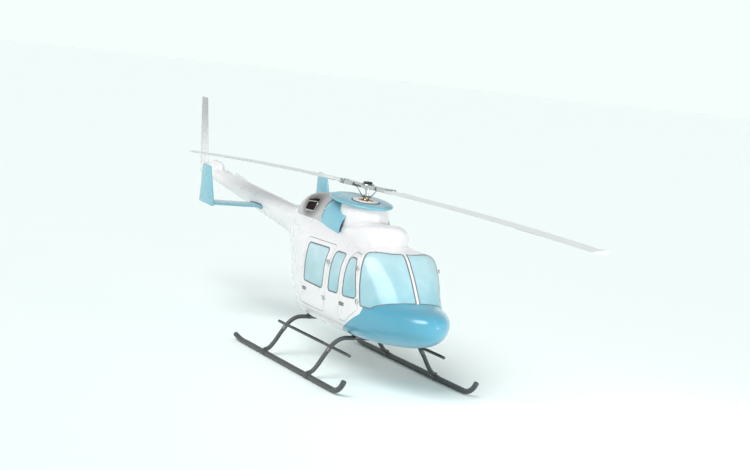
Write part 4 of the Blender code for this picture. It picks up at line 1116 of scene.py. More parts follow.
    # Rolled lip, duct screen, firewall, and the strap and latches at the cowling split
    lip = cowl_rings(INTAKE_ROWS, 0.008)[0][1:-1]
    lip = [Vector((p.x, INTAKE_ROWS[0][0] + 0.003, p.z)) for p in lip]
    lip_tool = tool(tube(lip, 0.012, 16))
    keep(carve(lip_tool, remove=cutters), "intake_lip", "airframe", "paint_light_blue",
         LIGHT_BLUE)
    square = [(a * SCREEN_WIRE, b * SCREEN_WIRE) for a, b in ((-1, -1), (1, -1), (1, 1), (-1, 1))]
    uprights, rails = bmesh.new(), bmesh.new()
    for k in range(31):
        x = -0.45 + SCREEN_PITCH * k
        merge(uprights, prism([(x + a, 0.02 + b) for a, b in square], 2, (1.9, 2.5)))
    for k in range(19):
        z = 1.93 + SCREEN_PITCH * k
        merge(rails, prism([(0.026 + b, z + a) for a, b in square], 0, (-0.6, 0.6)))
    for bars, name in ((uprights, "uprights"), (rails, "rails")):
        keep(carve(tool(bars), keep=[intake_inner], remove=cutters), "intake_screen_" + name,
             "airframe", "steel", DARK_STEEL)
    wall = tool(box((-0.6, 0.46, 1.8), (0.6, 0.47, 2.7)))
    keep(carve(wall, keep=[intake_inner], remove=[deck, outer, drum_clear]), "firewall",
         "airframe", "black_plastic", BLACK)
    half, crown = ENGINE_ROWS[0][1:]
    arch = [Vector((half * power(math.cos(t), 2 / COWL_SQUARE), COWL_SPLIT,
                    COWL_FOOT + (crown - COWL_FOOT) * math.sin(t) ** (2 / COWL_SQUARE)))
            for t in spread(0.24, math.pi - 0.24, 80)]
    keep(ribbon(resampled(arch, 0.02, False), engine_tree, 0.030, 0.004, False), "cowl_strap",
         "airframe", "steel", STEEL, angle=40)
    latches = bmesh.new()
    for side in (PORT, STARBOARD):
        for z in (2.18, 2.34):
            spot, normal, _, _ = engine_tree.find_nearest(Vector((side * 0.46, COWL_SPLIT, z)))
            merge(latches, turned([(0.002, 0.016), (0.009, 0.016), (0.012, 0.013)], spot, normal,
                                  24))
            merge(latches, bolt(spot + normal * 0.012, normal, 0.006, 0.003))
    keep(latches, "cowl_latches", "airframe", "steel", STEEL)


# Rotors
def section(chord, thick, count=28):
    """Blade profile, leading edge first, as (along the chord, up) about the quarter chord."""
    points = []
    for k in range(count):
        turn = 2 * math.pi * k / count
        along = 0.5 * (1 - math.cos(turn))
        half = thick * 0.5 * (2.6 * math.sqrt(along) * (1 - along) + 0.10 * along)
        points.append((chord * (0.25 - along), half if turn <= math.pi else -half))
    return points


def blade_level(span):
    reach = max(0.0, (span - 0.75) / (ROTOR_R - 0.75))
    return HUB_Z - BLADE_DROOP * reach ** 2


def tip_taper(span):
    """Share of the chord left near the tip."""
    return 1 - 0.16 * max(0.0, (span - (ROTOR_R - TIP_LENGTH)) / TIP_LENGTH) ** 3


def eased(share):
    """Smooth step from 0 to 1."""
    share = min(1.0, max(0.0, share))
    return share * share * (3 - 2 * share)


def make_main_rotor():
    turn = Matrix.Rotation(-PARK_ANGLE, 4, "Z")

    def part(bm, name, slot, mat, replaces=(), angle=32):
        keep(bm, name, "main_rotor", slot, mat, replaces, angle, turn)

    foot, top = 2.4403, HUB_Z - 0.0303
    mast = [(foot, MAST_R), (2.575, MAST_R), (2.578, MAST_R + 0.004), (2.592, MAST_R + 0.004),
            (2.595, MAST_R), (top - 0.035, MAST_R), (top - 0.030, MAST_R + 0.010),
            (top - 0.006, MAST_R + 0.010), (top, MAST_R + 0.006)]
    part(turned(mast, (0, 0, 0), (0, 0, 1), 40), "rotor_mast_turned", "steel", STEEL,
         "rotor_mast")

    # Yoke: a flat bar with waists, slotted at its ends for the blades, and a turned boss
    outline = [(0.655, 0.030), (0.64, 0.058), (0.60, 0.068), (0.46, 0.070), (0.34, 0.060),
               (0.20, 0.055), (0.12, 0.068), (0.0, 0.070)]
    outline += [(-x, y) for x, y in reversed(outline[:-1])]
    outline += [(x, -y) for x, y in reversed(outline)]
    rows = [(-0.030, 0.006), (-0.026, 0.0), (0.026, 0.0), (0.030, 0.006)]
    yoke = tool(loft([[Vector((x * (1 - inset / 0.66), y * (1 - inset / 0.07), HUB_Z + z))
                       for x, y in outline] for z, inset in rows]))
    slots = [tool(box((end * 0.5 if end > 0 else -2, -0.3, HUB_Z - 0.0185),
                      (2 if end > 0 else -0.5, 0.3, HUB_Z + 0.0185))) for end in (1, -1)]
    part(carve(yoke, remove=slots), "rotor_hub_yoke", "steel", STEEL, "rotor_hub")
    part(turned([(HUB_Z - 0.030, 0.090), (HUB_Z - 0.026, 0.104), (HUB_Z + 0.020, 0.105),
                 (HUB_Z + 0.034, 0.098), (HUB_Z + 0.040, 0.080), (HUB_Z + 0.042, 0.060)],
                (0, 0, 0), (0, 0, 1), 48), "rotor_hub_boss", "steel", STEEL)
    bolts = bmesh.new()
    for end in (1, -1):
        for x, y in ((0.545, 0.035), (0.545, -0.035), (0.610, 0.035), (0.610, -0.035)):
            merge(bolts, bolt((end * x, y, HUB_Z + 0.030), (0, 0, 1), 0.009, 0.010))
            merge(bolts, bolt((end * x, y, HUB_Z - 0.030), (0, 0, -1), 0.009, 0.010))
        merge(bolts, turned([(-0.066, 0.020), (-0.060, 0.026), (0.060, 0.026), (0.066, 0.020)],
                            (end * 0.27, 0, HUB_Z), (0, 1, 0), 24))
    for k in range(8):
        t = 2 * math.pi * k / 8
        merge(bolts, bolt((0.088 * math.cos(t), 0.088 * math.sin(t), HUB_Z + 0.036), (0, 0, 1),
                          0.006, 0.006))
    part(bolts, "rotor_hub_bolts", "steel", DARK_STEEL)

    cap = through([(0.0423, 0.050, 0), (0.047, 0.067, 0), (0.060, 0.0700, 0), (0.068, 0.062, 0),
                   (0.072, 0.045, 0)], 4)
    part(turned([(HUB_Z + p.x, p.y) for p in cap], (0, 0, 0), (0, 0, 1), 48), "mast_cap_turned",
         "black_plastic", BLACK, "mast_cap")

    # Pitch horns on the grips and their links down to the ring on the mast
    horns = bmesh.new()
    for end in (1, -1):
        low = Vector((end * 0.062, end * 0.030, 2.602))
        high = Vector((end * 0.145, end * 0.096, HUB_Z - 0.018))
        arm = [(end * 0.30, end * 0.055, HUB_Z - 0.012), (end * 0.24, end * 0.085, HUB_Z - 0.014),
               high]
        merge(horns, tube(through(arm, 5), [0.013 - 0.0005 * k for k in range(11)], 14))
        along = (high - low).normalized()
        merge(horns, tube([low, high], 0.0055, 12))
        for spot in (low, high):
            merge(horns, turned([(-0.010, 0.008), (-0.006, 0.012), (0.006, 0.012),
                                 (0.010, 0.008)], spot, along.cross(Vector((0, 0, 1))), 16))
        merge(horns, turned([(0.03, 0.0055), (0.032, 0.0085), (0.045, 0.0085), (0.047, 0.0055)],
                            low, along, 6))
    merge(horns, turned([(2.588, 0.050), (2.590, 0.062), (2.606, 0.064), (2.612, 0.056),
                         (2.614, 0.034)], (0, 0, 0), (0, 0, 1), 40))
    part(horns, "rotor_pitch_links", "steel", DARK_STEEL)

    for direction, label in ((1, "forward"), (-1, "aft")):
        spans = [BLADE_START, 0.56, 0.62, 0.68, 0.76] + spread(0.86, ROTOR_R - 0.13, 34)
        spans += [ROTOR_R - 0.10, ROTOR_R - 0.07, ROTOR_R - 0.04, ROTOR_R - 0.018, ROTOR_R]
        name = "main_blade_" + label
        rings = []
        for span in spans:
            chord = 0.13 + (BLADE_CHORD - 0.13) * eased((span - BLADE_START) / 0.24)
            rings.append([Vector((direction * span, direction * a, blade_level(span) + h))
                          for a, h in section(chord * tip_taper(span), BLADE_THICK)])
        part(loft(rings), name + "_skin", "blade_paint", BLADE, name, 40)
        # Bonded doublers at the root, metal edge strip, trim tab and screws at the tip
        extra = bmesh.new()
        for end, grow in ((1.22, 0.0022), (0.98, 0.0040)):
            inner = spread(0.80, end, 10)
            for up in (1, -1):
                rings = []
                for k, span in enumerate(inner):
                    width = 0.115 if k < 7 else 0.115 - 0.022 * (k - 6)
                    level = blade_level(span) + up * (0.5 * BLADE_THICK * 0.985 + grow - 0.002)
                    rings.append([Vector((direction * span, direction * a, level + up * h))
                                  for a, h in ((width * 0.55, -0.008), (width * 0.5, 0.0),
                                               (0.0, 0.0016), (-width * 0.5, -0.0005),
                                               (-width * 0.55, -0.008))])
                merge(extra, loft(rings))
        part(extra, name + "_doublers", "blade_paint", BLADE)
        pts = section(BLADE_CHORD, BLADE_THICK)
        ring = [(pts[k][0] + 0.0008, pts[k][1] * 1.02 + math.copysign(0.0007, pts[k][1]))
                for k in range(5, -6, -1)] + [(pts[5][0], 0.0)]
        strip = [[Vector((direction * span, direction * a * tip_taper(span),
                          blade_level(span) + h)) for a, h in ring]
                 for span in spread(0.95, ROTOR_R - 0.02, 40)]
        part(loft(strip), name + "_edge", "steel", EDGE, (), 40)
        tab = []
        for span in (3.55, 3.56, 4.04, 4.05):
            edge = -0.75 * BLADE_CHORD
            back = -0.010 if 3.552 < span < 4.045 else 0.004
            tab.append([Vector((direction * span, direction * (edge + a), blade_level(span) + h))
                        for a, h in ((0.012, 0.0022), (back, 0.0010), (back, -0.0010),
                                     (0.012, -0.0022))])
        part(loft(tab), name + "_tab", "steel", STEEL)
        screws = bmesh.new()
        span = ROTOR_R - 0.085
        for k in range(6):
            a = 0.055 - 0.040 * k
            thick = 0.5 * BLADE_THICK * (0.95 if k < 3 else 0.62 - 0.12 * (k - 3))
            merge(screws, turned([(thick - 0.003, 0.006), (thick + 0.0006, 0.006),
                                  (thick + 0.0014, 0.004)],
                                 (direction * span, direction * a, blade_level(span)),
                                 (0, 0, 1), 12))
        part(screws, name + "_tip_screws", "steel", DARK_STEEL)


def make_tail_rotor():
    x, y, z = TAIL_HUB
    turn = (Matrix.Translation(TAIL_HUB) @ Matrix.Rotation(TAIL_PARK_ANGLE, 4, "X")
            @ Matrix.Translation([-c for c in TAIL_HUB]))

    def part(bm, name, slot, mat, replaces=(), angle=32):
        keep(bm, name, "tail_rotor", slot, mat, replaces, angle, turn)

    hub = turned([(0.2503, 0.026), (x - 0.05, 0.026), (x - 0.045, 0.022), (x - 0.020, 0.022),
                  (x - 0.018, 0.030), (x + 0.018, 0.030), (x + 0.022, 0.022), (x + 0.038, 0.021),
                  (x + 0.045, 0.014)], (0, y, z), (1, 0, 0), 36)
    part(hub, "tail_rotor_hub_turned", "steel", STEEL, "tail_rotor_hub")
    yoke = soft_box((x - 0.015, y - 0.130, z - 0.028), (x + 0.015, y + 0.130, z + 0.028), 0.005)
    part(yoke, "tail_rotor_yoke", "steel", DARK_STEEL)
    extra = bmesh.new()
    for end in (1, -1):
        for dy in (0.085, 0.115):
            merge(extra, bolt((x + 0.015, y + end * dy, z), (1, 0, 0), 0.007, 0.008))
            merge(extra, bolt((x - 0.015, y + end * dy, z), (-1, 0, 0), 0.007, 0.006))
        horn = [Vector((x - 0.004, y + end * 0.105, z + end * 0.026)),
                Vector((x - 0.030, y + end * 0.080, z + end * 0.046)),
                Vector((x - 0.048, y + end * 0.036, z + end * 0.040))]
        merge(extra, tube(through(horn, 5), 0.006, 12))
        merge(extra, tube([horn[-1], Vector((x - 0.060, y + end * 0.010, z + end * 0.022))],
                          0.0045, 10))
    merge(extra, turned([(x - 0.070, 0.030), (x - 0.066, 0.034), (x - 0.056, 0.034),
                         (x - 0.052, 0.028)], (0, y, z), (1, 0, 0), 28))
    part(extra, "tail_rotor_links", "steel", STEEL)
    for direction, label in ((-1, "a"), (1, "b")):
        rings = []
        strip = []
        for share in [0.0, 0.05, 0.10, 0.14, 0.18, 0.22] + spread(0.28, 0.96, 14) + [0.98, 1.0]:
            span = 0.1303 + share * (TAIL_ROTOR_R - 0.1303)
            width = 0.42 + 0.58 * eased((share - 0.06) / 0.16)
            width *= 1.0 if share < 0.975 else (0.97 if share < 0.99 else 0.86)
            points = section(TAIL_CHORD * width, 0.020)
            rings.append([Vector((x + h, y + direction * span, z + direction * a))
                          for a, h in points])
            if share > 0.27:
                nose = [points[k] for k in (4, 3, 2, 1, 0, -1, -2, -3, -4)] + [(points[4][0], 0)]
                strip.append([Vector((x + h + math.copysign(0.0006, h), y + direction * span,
                                      z + direction * (a + 0.0008))) for a, h in nose])
        part(loft(rings), "tail_blade_%s_skin" % label, "blade_paint", BLADE, "tail_blade_" +
             label, 40)
        part(loft(strip), "tail_blade_%s_edge" % label, "steel", EDGE, (), 40)


# Tail
def boom_centre(y):
    share = (y - BOOM_FRONT) / (BOOM_REAR - BOOM_FRONT)
    return (BOOM_FRONT_Z + share * (BOOM_REAR_Z - BOOM_FRONT_Z),
            BOOM_FRONT_R + share * (BOOM_REAR_R - BOOM_FRONT_R))


def boom_ring(y, inset=0.0, sides=72):
    middle, radius = boom_centre(y)
    return [Vector(((radius - inset) * math.cos(t), y, middle + (radius - inset) * math.sin(t)))
            for t in turns(sides)]


def fin_ring(share, thick_scale=1.0, trim=0.0, count=32):
    front_low, front_high, rear_high, rear_low = FIN_CORNERS
    front = [a + share * (b - a) for a, b in zip(front_low, front_high)]
    rear = [a + share * (b - a) for a, b in zip(rear_low, rear_high)]
    ring = []
    for a, h in section(1.0, (FIN_THICK - 0.028 * share) * thick_scale, count):
        along = trim + (0.25 - a) * (1 - 2 * trim)
        ring.append(Vector((h, front[0] + along * (rear[0] - front[0]),
                            front[1] + along * (rear[1] - front[1]))))
    return ring


def make_tail():
    def stab_rings(grow):
        return [[Vector((x, STAB_REAR + grow - 0.75 * (STAB_CHORD + 2 * grow) - a, STAB_Z + h))
                 for a, h in section(STAB_CHORD + 2 * grow, 0.055 + 3 * grow, 40)]
                for x in spread(-STAB_HALF_SPAN - grow, STAB_HALF_SPAN + grow, 25)]

    stab = tool(loft(stab_rings(0.0)))
    keep(bmesh_of(stab), "horizontal_stabilizer_skin", "airframe", "paint_light_blue",
         LIGHT_BLUE, "horizontal_stabilizer", 40)
    boom = tool(loft([boom_ring(y) for y in spread(BOOM_FRONT, BOOM_REAR, 40)]))
    bore = tool(loft([boom_ring(y, 0.018) for y in (BOOM_FRONT - 0.05, 3.9, BOOM_REAR - 0.06)]))
    stab_clear = tool(loft(stab_rings(0.0012)))
    keep(carve(boom, remove=[bore, stab_clear]), "tail_boom_skin", "airframe", "paint_white",
         WHITE, "tail_boom")
    boom_tree = tree_of(boom)

    # Fairing strip where the stabiliser passes through the boom
    fillets = bmesh.new()
    for side in (PORT, STARBOARD):
        spots = []
        for p in stab_rings(0.004)[12]:
            middle, radius = boom_centre(p.y)
            reach = radius * radius - (p.z - middle) ** 2
            spots.append(Vector((side * math.sqrt(max(1e-4, reach)), p.y, p.z)))
        merge(fillets, ribbon(resampled(spots, 0.02), boom_tree, 0.022, 0.004))
    keep(fillets, "stabilizer_seals", "airframe", "black_plastic", RUBBER)

    for side in (PORT, STARBOARD):
        outline = [(STAB_REAR - 0.637, 1.905), (STAB_REAR, 1.920), (STAB_REAR, 2.558),
                   (STAB_REAR - 0.327, 2.546)]
        low, high = STAB_HALF_SPAN + SEAM, STAB_HALF_SPAN + 0.030
        rings = []
        for share, trim in ((0.0, 0.010), (0.12, 0.004), (0.3, 0.001), (0.5, 0.0), (0.7, 0.001),
                            (0.88, 0.004), (1.0, 0.010)):
            x = low + share * (high - low)
            rings.append([Vector((side * x, y, z))
                          for y, z in rounded(grown(outline, -trim), 0.03)])
        name = "end_plate_" + LABEL[side]
        keep(loft(rings), name + "_skin", "airframe", "paint_light_blue", LIGHT_BLUE, name)

    rows = [(6.2603, 0.112, 0.118, 2.232), (6.36, 0.098, 0.120, 2.236),
            (6.50, 0.060, 0.095, 2.226), (6.60, 0.022, 0.055, 2.200)]
    cone = tool(loft([[Vector((smooth(rows, y, 1) * math.cos(t), y,
                               smooth(rows, y, 3) + smooth(rows, y, 2) * math.sin(t)))
                       for t in turns(56)] for y in spread(6.2603, 6.60, 22)]))
    keep(bmesh_of(cone), "tail_cone_skin", "airframe", "paint_white", WHITE, "tail_cone")
    fin = tool(loft([fin_ring(s) for s in spread(0, 0.985, 20)]
                    + [fin_ring(0.993, 0.86, 0.002), fin_ring(1.0, 0.5, 0.006)]))
    keep(carve(fin, remove=[cone, boom]), "vertical_fin_skin", "airframe", "paint_white",
         FIN_PAINTED_SHADE_WHITE, "vertical_fin", 40)
    fin_tree = tree_of(fin)
    seam = bmesh.new()
    for side in (PORT, STARBOARD):
        line = []
        for share in spread(0.10, 0.97, 30):
            ring = fin_ring(share, 1.0, 0.0, 64)
            line.append(ring[21 if side > 0 else 43])
        merge(seam, ribbon(line, fin_tree, 0.004, 0.0008, False))
        for share in (0.30, 0.55, 0.80):
            ring = fin_ring(share, 1.0, 0.0, 64)
            row = ring[3:29] if side > 0 else ring[36:62]
            rivets(seam, row, fin_tree, 0.035, 0.0035)
    keep(seam, "vertical_fin_seams", "airframe", "paint_white", RUBBER)

    rows = [(5.56, 0.02, 2.27), (5.62, 0.075, 2.375), (5.74, 0.105, 2.425),
            (5.92, 0.110, 2.435), (6.08, 0.085, 2.405), (6.17, 0.03, 2.31)]
    rings = []
    for y in spread(5.56, 6.17, 30):
        half, crown = smooth(rows, y, 1), smooth(rows, y, 2)
        ring = [Vector((half, y, 2.20))]
        ring += [Vector((half * math.cos(math.pi * j / 32), y,
                         2.22 + (crown - 2.22) * math.sin(math.pi * j / 32)))
                 for j in range(33)]
        rings.append(ring + [Vector((-half, y, 2.20))])
    bump = tool(loft(rings))
    keep(carve(bump, remove=[boom]), "tail_gearbox_fairing_skin", "airframe", "paint_white",
         WHITE, "tail_gearbox_fairing")
    start = boom_centre(6.0)[1] - 0.012
    sleeve = turned([(start, 0.045), (0.190, 0.045), (0.194, 0.056), (0.206, 0.056),
                     (0.210, 0.043), (0.246, 0.043), (0.25, 0.039)],
                    (0, 6.0, TAIL_HUB[2]), (1, 0, 0), 40)
    keep(sleeve, "tail_rotor_sleeve_turned", "airframe", "steel", STEEL, "tail_rotor_sleeve")
    bolts = bmesh.new()
    for k in range(6):
        t = 2 * math.pi * k / 6
        merge(bolts, bolt((0.206, 6.0 + 0.050 * math.cos(t), TAIL_HUB[2] + 0.050 * math.sin(t)),
                          (1, 0, 0), 0.004, 0.004))
    keep(bolts, "tail_rotor_sleeve_bolts", "airframe", "steel", DARK_STEEL)


# Landing gear
def skid_path(x):
    points = [(x, SKID_REAR, SKID_Z + 0.035), (x, 1.55, SKID_Z), (x, 1.30, SKID_Z)]
    path = through(points, 6)[:-1]
    path += [Vector((x, y, SKID_Z)) for y in spread(1.30, SKID_NOSE_Y, 16)]
    for k in range(1, 17):
        turn = SKID_NOSE_TURN * k / 16
        path.append(Vector((x, SKID_NOSE_Y - SKID_NOSE_R * math.sin(turn),
                            SKID_Z + SKID_NOSE_R * (1 - math.cos(turn)))))
    return path


def crosstube_path(y):
    port = through([(x, y, z) for x, z in CROSSTUBE_SIDE], 8)
    return [Vector((-p.x, p.y, p.z)) for p in reversed(port[1:])] + port


def capped(path, radius, cap=0.006):
    """A path and radii whose ends are rounded off."""
    first, last = path[0], path[-1]
    ahead, behind = (path[1] - first).normalized(), (path[-2] - last).normalized()
    fresh = [first, first + ahead * cap] + path[1:-1] + [last + behind * cap, last]
    radii = [radius - cap] + [radius] * (len(fresh) - 2) + [radius - cap]
    return fresh, radii


def band(path, index, radius, half, grow=0.004):
    """A clamp band round a tube at one of its path's points."""
    ahead = (path[index + 1] - path[index - 1]).normalized()
    return turned([(-half, radius + 0.2 * grow), (-half + 0.002, radius + grow),
                   (half - 0.002, radius + grow), (half, radius + 0.2 * grow)],
                  path[index], ahead, 32)


def make_gear(outer):
    for side in (PORT, STARBOARD):
        label = LABEL[side]
        path = skid_path(side * SKID_X)
        line, radii = capped(path, SKID_R)
        skid = tube(line, radii, 32)
        keep(skid, "skid_%s_tube" % label, "airframe", "gear_paint", GEAR, "skid_" + label)
        extra = bmesh.new()
        merge(extra, turned([(-0.004, 0.034), (0.0, 0.039), (0.012, 0.039)], path[0],
                            path[1] - path[0], 28))
        for y in CROSSTUBE_STATIONS.values():
            spot = Vector((side * SKID_X, y, SKID_Z))
            for dy in (-0.075, 0.075):
                merge(extra, turned([(-0.018, 0.0405), (-0.016, 0.0445), (0.016, 0.0445),
                                     (0.018, 0.0405)], spot + Vector((0, dy, 0)), (0, 1, 0), 32))
            saddle = [(-0.095, 0.0405), (-0.085, 0.0455), (0.085, 0.0455), (0.095, 0.0405)]
            merge(extra, turned(saddle, spot, (0, 1, 0), 32))
            for dy in (-0.060, 0.060):
                for dz in (0.0, 0.034):
                    out = Vector((side, 0, dz * 14)).normalized()
                    merge(extra, bolt(spot + Vector((0, dy, 0)) + out * 0.045, out, 0.007, 0.007))
        keep(extra, "skid_%s_saddles" % label, "airframe", "gear_paint", GEAR)
        wear = bmesh.new()
        for k in range(4):
            y0 = -1.55 + SHOE_PITCH * k
            merge(wear, soft_box((side * SKID_X - SHOE_HALF_WIDTH, y0 + 0.004, 0.0),
                                 (side * SKID_X + SHOE_HALF_WIDTH, y0 + 0.696, 0.0063), 0.0018,
                                 2))
        keep(wear, "skid_shoe_%s_bars" % label, "airframe", "steel", DARK_STEEL,
             "skid_shoe_" + label)
        path = [Vector((side * STEP_X, y, STEP_Z)) for y in spread(0.90, -1.54, 24)]
        line, radii = capped(path, STEP_R)
        keep(tube(line, radii, 24), "step_%s_tube" % label, "airframe", "gear_paint", GEAR,
             "step_" + label)
        tread = bmesh.new()
        for low, high in ((-1.46, -1.02), (-0.70, 0.40)):
            rings = []
            for y in spread(low, high, 18):
                ring = [Vector((side * STEP_X + (STEP_R + g) * math.sin(t), y,
                                STEP_Z + (STEP_R + g) * math.cos(t)))
                        for g, ts in ((0.0016, spread(-1.0, 1.0, 12)),
                                      (-0.002, spread(1.05, -1.05, 12))) for t in ts]
                rings.append(ring)
            merge(tread, loft(rings))
        keep(tread, "step_%s_tread" % label, "airframe", "black_plastic", GRIP)

    for place, y in CROSSTUBE_STATIONS.items():
        path = crosstube_path(y)
        name = place + "_crosstube"
        keep(tube(path, CROSSTUBE_R, 28), name + "_bar", "airframe", "gear_paint", GEAR, name)
        extra = bmesh.new()
        for side in (PORT, STARBOARD):
            for goal in (0.36, 0.775):
                near = min(range(len(path)), key=lambda k: abs(path[k].x - side * goal))
                merge(extra, band(path, near, CROSSTUBE_R, 0.022 if goal < 0.5 else 0.034))
                for way in (-1, 1) if goal > 0.5 else ():
                    merge(extra, bolt(path[near] + Vector((0, way * (CROSSTUBE_R + 0.004), 0)),
                                      (0, way, 0), 0.006, 0.006))
        keep(extra, name + "_bands", "airframe", "steel", DARK_STEEL)
        block = tool(soft_box((-0.40, y - 0.07, CROSSTUBE_Z + 0.005), (0.40, y + 0.07, 0.80),
                              0.012))
        bar = tool(tube(path, CROSSTUBE_R + SEAM, 28))
        keep(carve(block, remove=[outer, bar]), name + "_saddle_block", "airframe", "steel",
             DARK_STEEL, name + "_saddle")
        bolts = bmesh.new()
        for x in (-0.36, -0.12, 0.12, 0.36):
            for dy in (-0.055, 0.055):
                merge(bolts, bolt((x, y + dy, CROSSTUBE_Z + 0.0055), (0, 0, -1), 0.007, 0.007))
        keep(bolts, name + "_saddle_bolts", "airframe", "steel", STEEL)
    plate = tool(soft_box((-0.15, -0.27, 0.630), (0.15, 0.03, 0.80), 0.006))
    keep(carve(plate, remove=[outer]), "belly_hardpoint_plate", "airframe", "steel", STEEL,
         "belly_hardpoint")
    bolts = bmesh.new()
    for x in (-0.125, 0.125):
        for y in (-0.245, -0.12, 0.005):
            merge(bolts, turned([(0, 0.010), (0.0005, 0.010)], (x, y, 0.6298), (0, 0, 1), 6))
    keep(bolts, "belly_hardpoint_bolts", "airframe", "steel", DARK_STEEL)


# Cabin furniture
def quad(span, near, far):
    """Corners of a face whose near and far edges are (y, z) places, in order round it."""
    return [Vector((span[0], *near)), Vector((span[1], *near)), Vector((span[1], *far)),
            Vector((span[0], *far))]


def cushion(name, span, lower, upper, crown, replaces=(), channels=(), cap=0.024):
    """A sewn cushion.

    span is its reach in x; its lower and upper faces each run between two (y, z) edges.
    Channels are sewn lines across it, as shares of its length.
    """
    bm = bmesh.new()
    lower, upper = quad(span, *lower), quad(span, *upper)
    middle = sum(lower + upper, Vector()) / 8
    shrink = 0.955
    ring_low = [middle + (p - middle) * shrink for p in lower]
    ring_high = [middle + (p - middle) * shrink for p in upper]
    count = 14
    grid = {}
    for layer, (a, b, c, d) in enumerate((ring_low, ring_high)):
        for i in range(count + 1):
            for j in range(count + 1):
                u, v = i / count, j / count
                p = a.lerp(b, u).lerp(d.lerp(c, u), v)
                grid[layer, i, j] = bm.verts.new(p)
    for i in range(count):
        for j in range(count):
            for layer in (0, 1):
                q = [grid[layer, i, j], grid[layer, i + 1, j], grid[layer, i + 1, j + 1],
                     grid[layer, i, j + 1]]
                bm.faces.new(q)
    for k in range(count):
        for i0, j0, i1, j1 in ((k, 0, k + 1, 0), (k, count, k + 1, count), (0, k, 0, k + 1),
                               (count, k, count, k + 1)):
            bm.faces.new((grid[0, i0, j0], grid[0, i1, j1], grid[1, i1, j1], grid[1, i0, j0]))
    bmesh.ops.recalc_face_normals(bm, faces=bm.faces)
    bevelled(bm, [e for e in bm.edges if e.calc_face_angle(0) > 1.0], 0.018, 3, 0.6)
    bm.transform(AFT)
    obj = placed(bm, name)
    up = (sum(upper, Vector()) - sum(lower, Vector())).normalized()
    base = AFT @ (sum(lower, Vector()) / 4)
    height = (sum(upper, Vector()) / 4 - sum(lower, Vector()) / 4).length
    inflate(obj, cap)
    a, b, c, d = [AFT @ p for p in upper]
    side_u, side_v = (b - a), (d - a)
    for v in obj.data.vertices:
        rel = v.co - a
        u = max(0.0, min(1.0, rel.dot(side_u) / side_u.length_squared))
        w = max(0.0, min(1.0, rel.dot(side_v) / side_v.length_squared))
        level = (v.co - base).dot(up) / height
        if level > 0.5:
            dome = (4 * u * (1 - u)) ** 0.6 * (4 * w * (1 - w)) ** 0.6
            lift = crown * dome
            for share in channels:
                lift -= 0.012 * math.exp(-((w - share) * side_v.length / 0.009) ** 2)
            for share in (0.16, 0.84):
                lift -= 0.009 * math.exp(-((u - share) * side_u.length / 0.008) ** 2)
            v.co += up * lift * min(1.0, (level - 0.5) * 4)
    for poly in obj.data.polygons:
        poly.use_smooth = True
    obj.data.materials.append(CLOTH)
    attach(obj, "airframe")
    if replaces:
        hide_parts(replaces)

    # Piping along the seam round the top edge
    top = BVHTree.FromPolygons([v.co.copy() for v in obj.data.vertices],
                               [tuple(p.vertices) for p in obj.data.polygons])
    loop = []
    for p, q in ((a, b), (b, c), (c, d), (d, a)):
        loop += [p.lerp(q, k / 16) for k in range(16)]
    centre = sum((a, b, c, d), Vector()) / 4
    loop = [centre + (p - centre) * 0.985 - up * 0.012 for p in loop]
    loop = resampled([top.find_nearest(p)[0] for p in loop], 0.012, True, 4)
    rings = []
    n = len(loop)
    for k, p in enumerate(loop):
        ahead = (loop[(k + 1) % n] - loop[k - 1]).normalized()
        side = ahead.cross(up).normalized()
        other = ahead.cross(side)
        rings.append([p + 0.0045 * (side * math.cos(t) + other * math.sin(t))
                      for t in (0.5, 1.55, 2.6, 3.65, 4.7, 5.75)])
    bm = loft(rings, hoop=True)
    bm.transform(AFT.inverted())
    keep(bm, name + "_piping", "airframe", "seat_cloth", WEBBING)
    return obj


def inflate(obj, cap):
    """Blows the cushion up as cloth, then keeps each point within cap of where it was."""
    remesh = obj.modifiers.new("remesh", "REMESH")
    remesh.mode = "VOXEL"
    remesh.voxel_size = 0.011
    remesh.use_smooth_shade = True
    graph = bpy.context.evaluated_depsgraph_get()
    mesh = bpy.data.meshes.new_from_object(obj.evaluated_get(graph))
    obj.modifiers.clear()
    obj.data = mesh
    rest = np.array([v.co for v in mesh.vertices])
    cloth = obj.modifiers.new("cloth", "CLOTH")
    cloth.settings.quality = 6
    cloth.settings.mass = 0.3
    cloth.settings.tension_stiffness = 18
    cloth.settings.compression_stiffness = 14
    cloth.settings.bending_stiffness = 0.6
    cloth.settings.use_pressure = True
    cloth.settings.uniform_pressure_force = 4.0
    cloth.settings.effector_weights.gravity = 0.0
    cloth.point_cache.frame_start, cloth.point_cache.frame_end = 1, 20
    scene = bpy.context.scene
    for step in range(1, 21):
        scene.frame_set(step)
    graph = bpy.context.evaluated_depsgraph_get()
    blown = obj.evaluated_get(graph).to_mesh()
    moved = np.array([v.co for v in blown.vertices]) - rest
    obj.evaluated_get(graph).to_mesh_clear()
    obj.modifiers.clear()
    scene.frame_set(1)
    size = np.linalg.norm(moved, axis=1, keepdims=True)
    moved *= np.minimum(1.0, cap / np.maximum(size, 1e-9))
    for v, p in zip(mesh.vertices, rest + moved):
        v.co = p
    bm = bmesh.new()
    bm.from_mesh(mesh)
    bmesh.ops.smooth_vert(bm, verts=bm.verts, factor=0.5, use_axis_x=True, use_axis_y=True,
                          use_axis_z=True)
    bm.to_mesh(mesh)
    bm.free()


